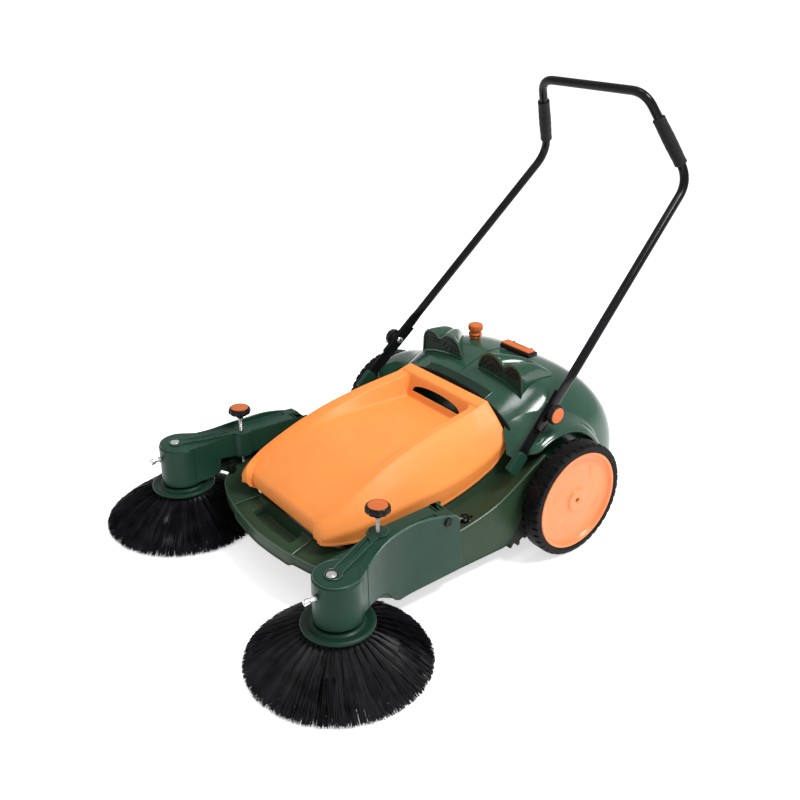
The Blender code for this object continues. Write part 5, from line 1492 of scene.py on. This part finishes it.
# ---------------------------------------------------------------- CAD nodes that stay
# (node, material, slot, width of its rounded edges)
KEPT = [
    # the gears' near-black colour is painted shade for the space behind the tyres
    ("axle", "steel", "steel", 0.0008), ("wheel_gear", "nylon", "gear_nylon", 0.0004),
    ("roller_gear", "nylon", "gear_nylon", 0.0004),
    ("roller_core", "black", "black_plastic", 0.0006),
    ("rear_frame", "black", "black_plastic", 0.001),
    ("dust_hopper", "black", "black_plastic", 0.0008),
    ("lid_hinge_pin", "steel", "steel", 0.0004), ("water_tank", "black", "black_plastic", 0.0),
    ("castor_frame", "tube", "black_paint", 0.0006),
]
for base, material, slot_name, width in (
        ("handle_bracket", "tube", "black_paint", 0.0006),
        ("arm_stop", "seal", "black_plastic", 0.0008),
        ("side_drive_shaft", "steel", "steel", 0.0003), ("arm_shaft", "steel", "steel", 0.0003),
        ("brush_spindle", "steel", "steel", 0.0003),
        ("castor_wheel", "black", "black_plastic", 0.0006)):
    KEPT += [(both(base, side), material, slot_name, width) for side in (1, -1)]


# ---------------------------------------------------------------- floor, light and camera
SKY_GLOW = 0.62
FLOOR_GLOW = 0.6
# (name, place, target, width and height, power)
LIGHTS = [("key", (1.6, 0.7, 2.8), (0.0, 0.0, 0.2), (0.9, 0.7), 84.0),
          ("overhead", (0.3, 0.2, 3.0), (0.0, 0.0, 0.1), (0.6, 0.6), 14.0),
          ("front", (1.6, -3.0, 1.6), (0.1, -0.2, 0.2), (1.6, 1.0), 1.0)]
# the photo's viewpoint: turn from straight ahead, height above level and roll, in degrees
CAMERA_ANGLES = (51.9032, 25.1957, 0.4502)
CAMERA_PLACE = Vector((1.54694, -1.4524, 1.2529))
LENS, SENSOR = 41.578, 36.0


def make_stage():
    """Pale floor, even studio world and three area lights."""
    size, count = 240.0, 8
    lines = spaced(-size / 2, size / 2, count)
    floor = plain_object("floor", grid_sheet([[(x, y, 0.0) for x in lines] for y in lines]))
    s = Shader("pale_floor")
    tint = s.mix(s.remap(s.noise(3.0, 4.0), 0.3, 0.7, 0.0, 1.0), (0.93, 0.93, 0.93),
                 (0.95, 0.95, 0.95))
    floor.data.materials.append(s.finish(tint, None, None, Roughness=0.9,
                                         Emission_Color=(1.0, 1.0, 1.0, 1.0),
                                         Emission_Strength=FLOOR_GLOW))
    world = bpy.data.worlds.new("studio")
    world.use_nodes = True
    world.node_tree.nodes["Background"].inputs["Color"].default_value = (1.0, 1.0, 1.0, 1.0)
    world.node_tree.nodes["Background"].inputs["Strength"].default_value = SKY_GLOW
    bpy.context.scene.world = world
    bpy.context.scene.view_settings.view_transform = "Standard"
    for name, place, target, size, power in LIGHTS:
        data = bpy.data.lights.new(name, "AREA")
        data.shape, data.size, data.size_y, data.energy = "RECTANGLE", size[0], size[1], power
        lamp = bpy.data.objects.new(name, data)
        bpy.context.collection.objects.link(lamp)
        lamp.location = place
        lamp.rotation_mode = "QUATERNION"
        lamp.rotation_quaternion = (Vector(target) - Vector(place)).to_track_quat("-Z", "Y")


def make_camera():
    """Camera at the photo's viewpoint."""
    azimuth, elevation, roll = (math.radians(a) for a in CAMERA_ANGLES)
    back = Vector((math.sin(azimuth) * math.cos(elevation),
                   -math.cos(azimuth) * math.cos(elevation), math.sin(elevation)))
    right = Vector((math.cos(azimuth), math.sin(azimuth), 0.0))
    up = back.cross(right)
    across = right * math.cos(roll) + up * math.sin(roll)
    upright = up * math.cos(roll) - right * math.sin(roll)
    data = bpy.data.cameras.new("camera")
    data.lens, data.sensor_width = LENS, SENSOR
    camera = bpy.data.objects.new("camera", data)
    bpy.context.collection.objects.link(camera)
    place = Matrix((across, upright, back)).transposed().to_4x4()
    place.translation = CAMERA_PLACE + Vector((0.0, AXLE_Y, 0.0))
    camera.matrix_world = place
    bpy.context.scene.camera = camera


# ---------------------------------------------------------------- build
make_camera()
make_stage()
for node_name, material_name, slot_name, bevel_width in KEPT:
    keep_node(node_name, material_name, bevel_width)
make_roller()
make_chassis()
make_lid()
make_hood()
make_filler()
make_latch()
ARM_SHAPE = arm_shape()
for each_side in (1, -1):
    make_tyre(each_side)
    make_hub(each_side)
    make_shaft_collar(each_side)
    make_socket(each_side)
    make_vents(each_side)
    make_arm(each_side, ARM_SHAPE)
    make_adjuster(each_side)
    make_side_brush(each_side)
ARM_SHAPE.free()
make_handle()
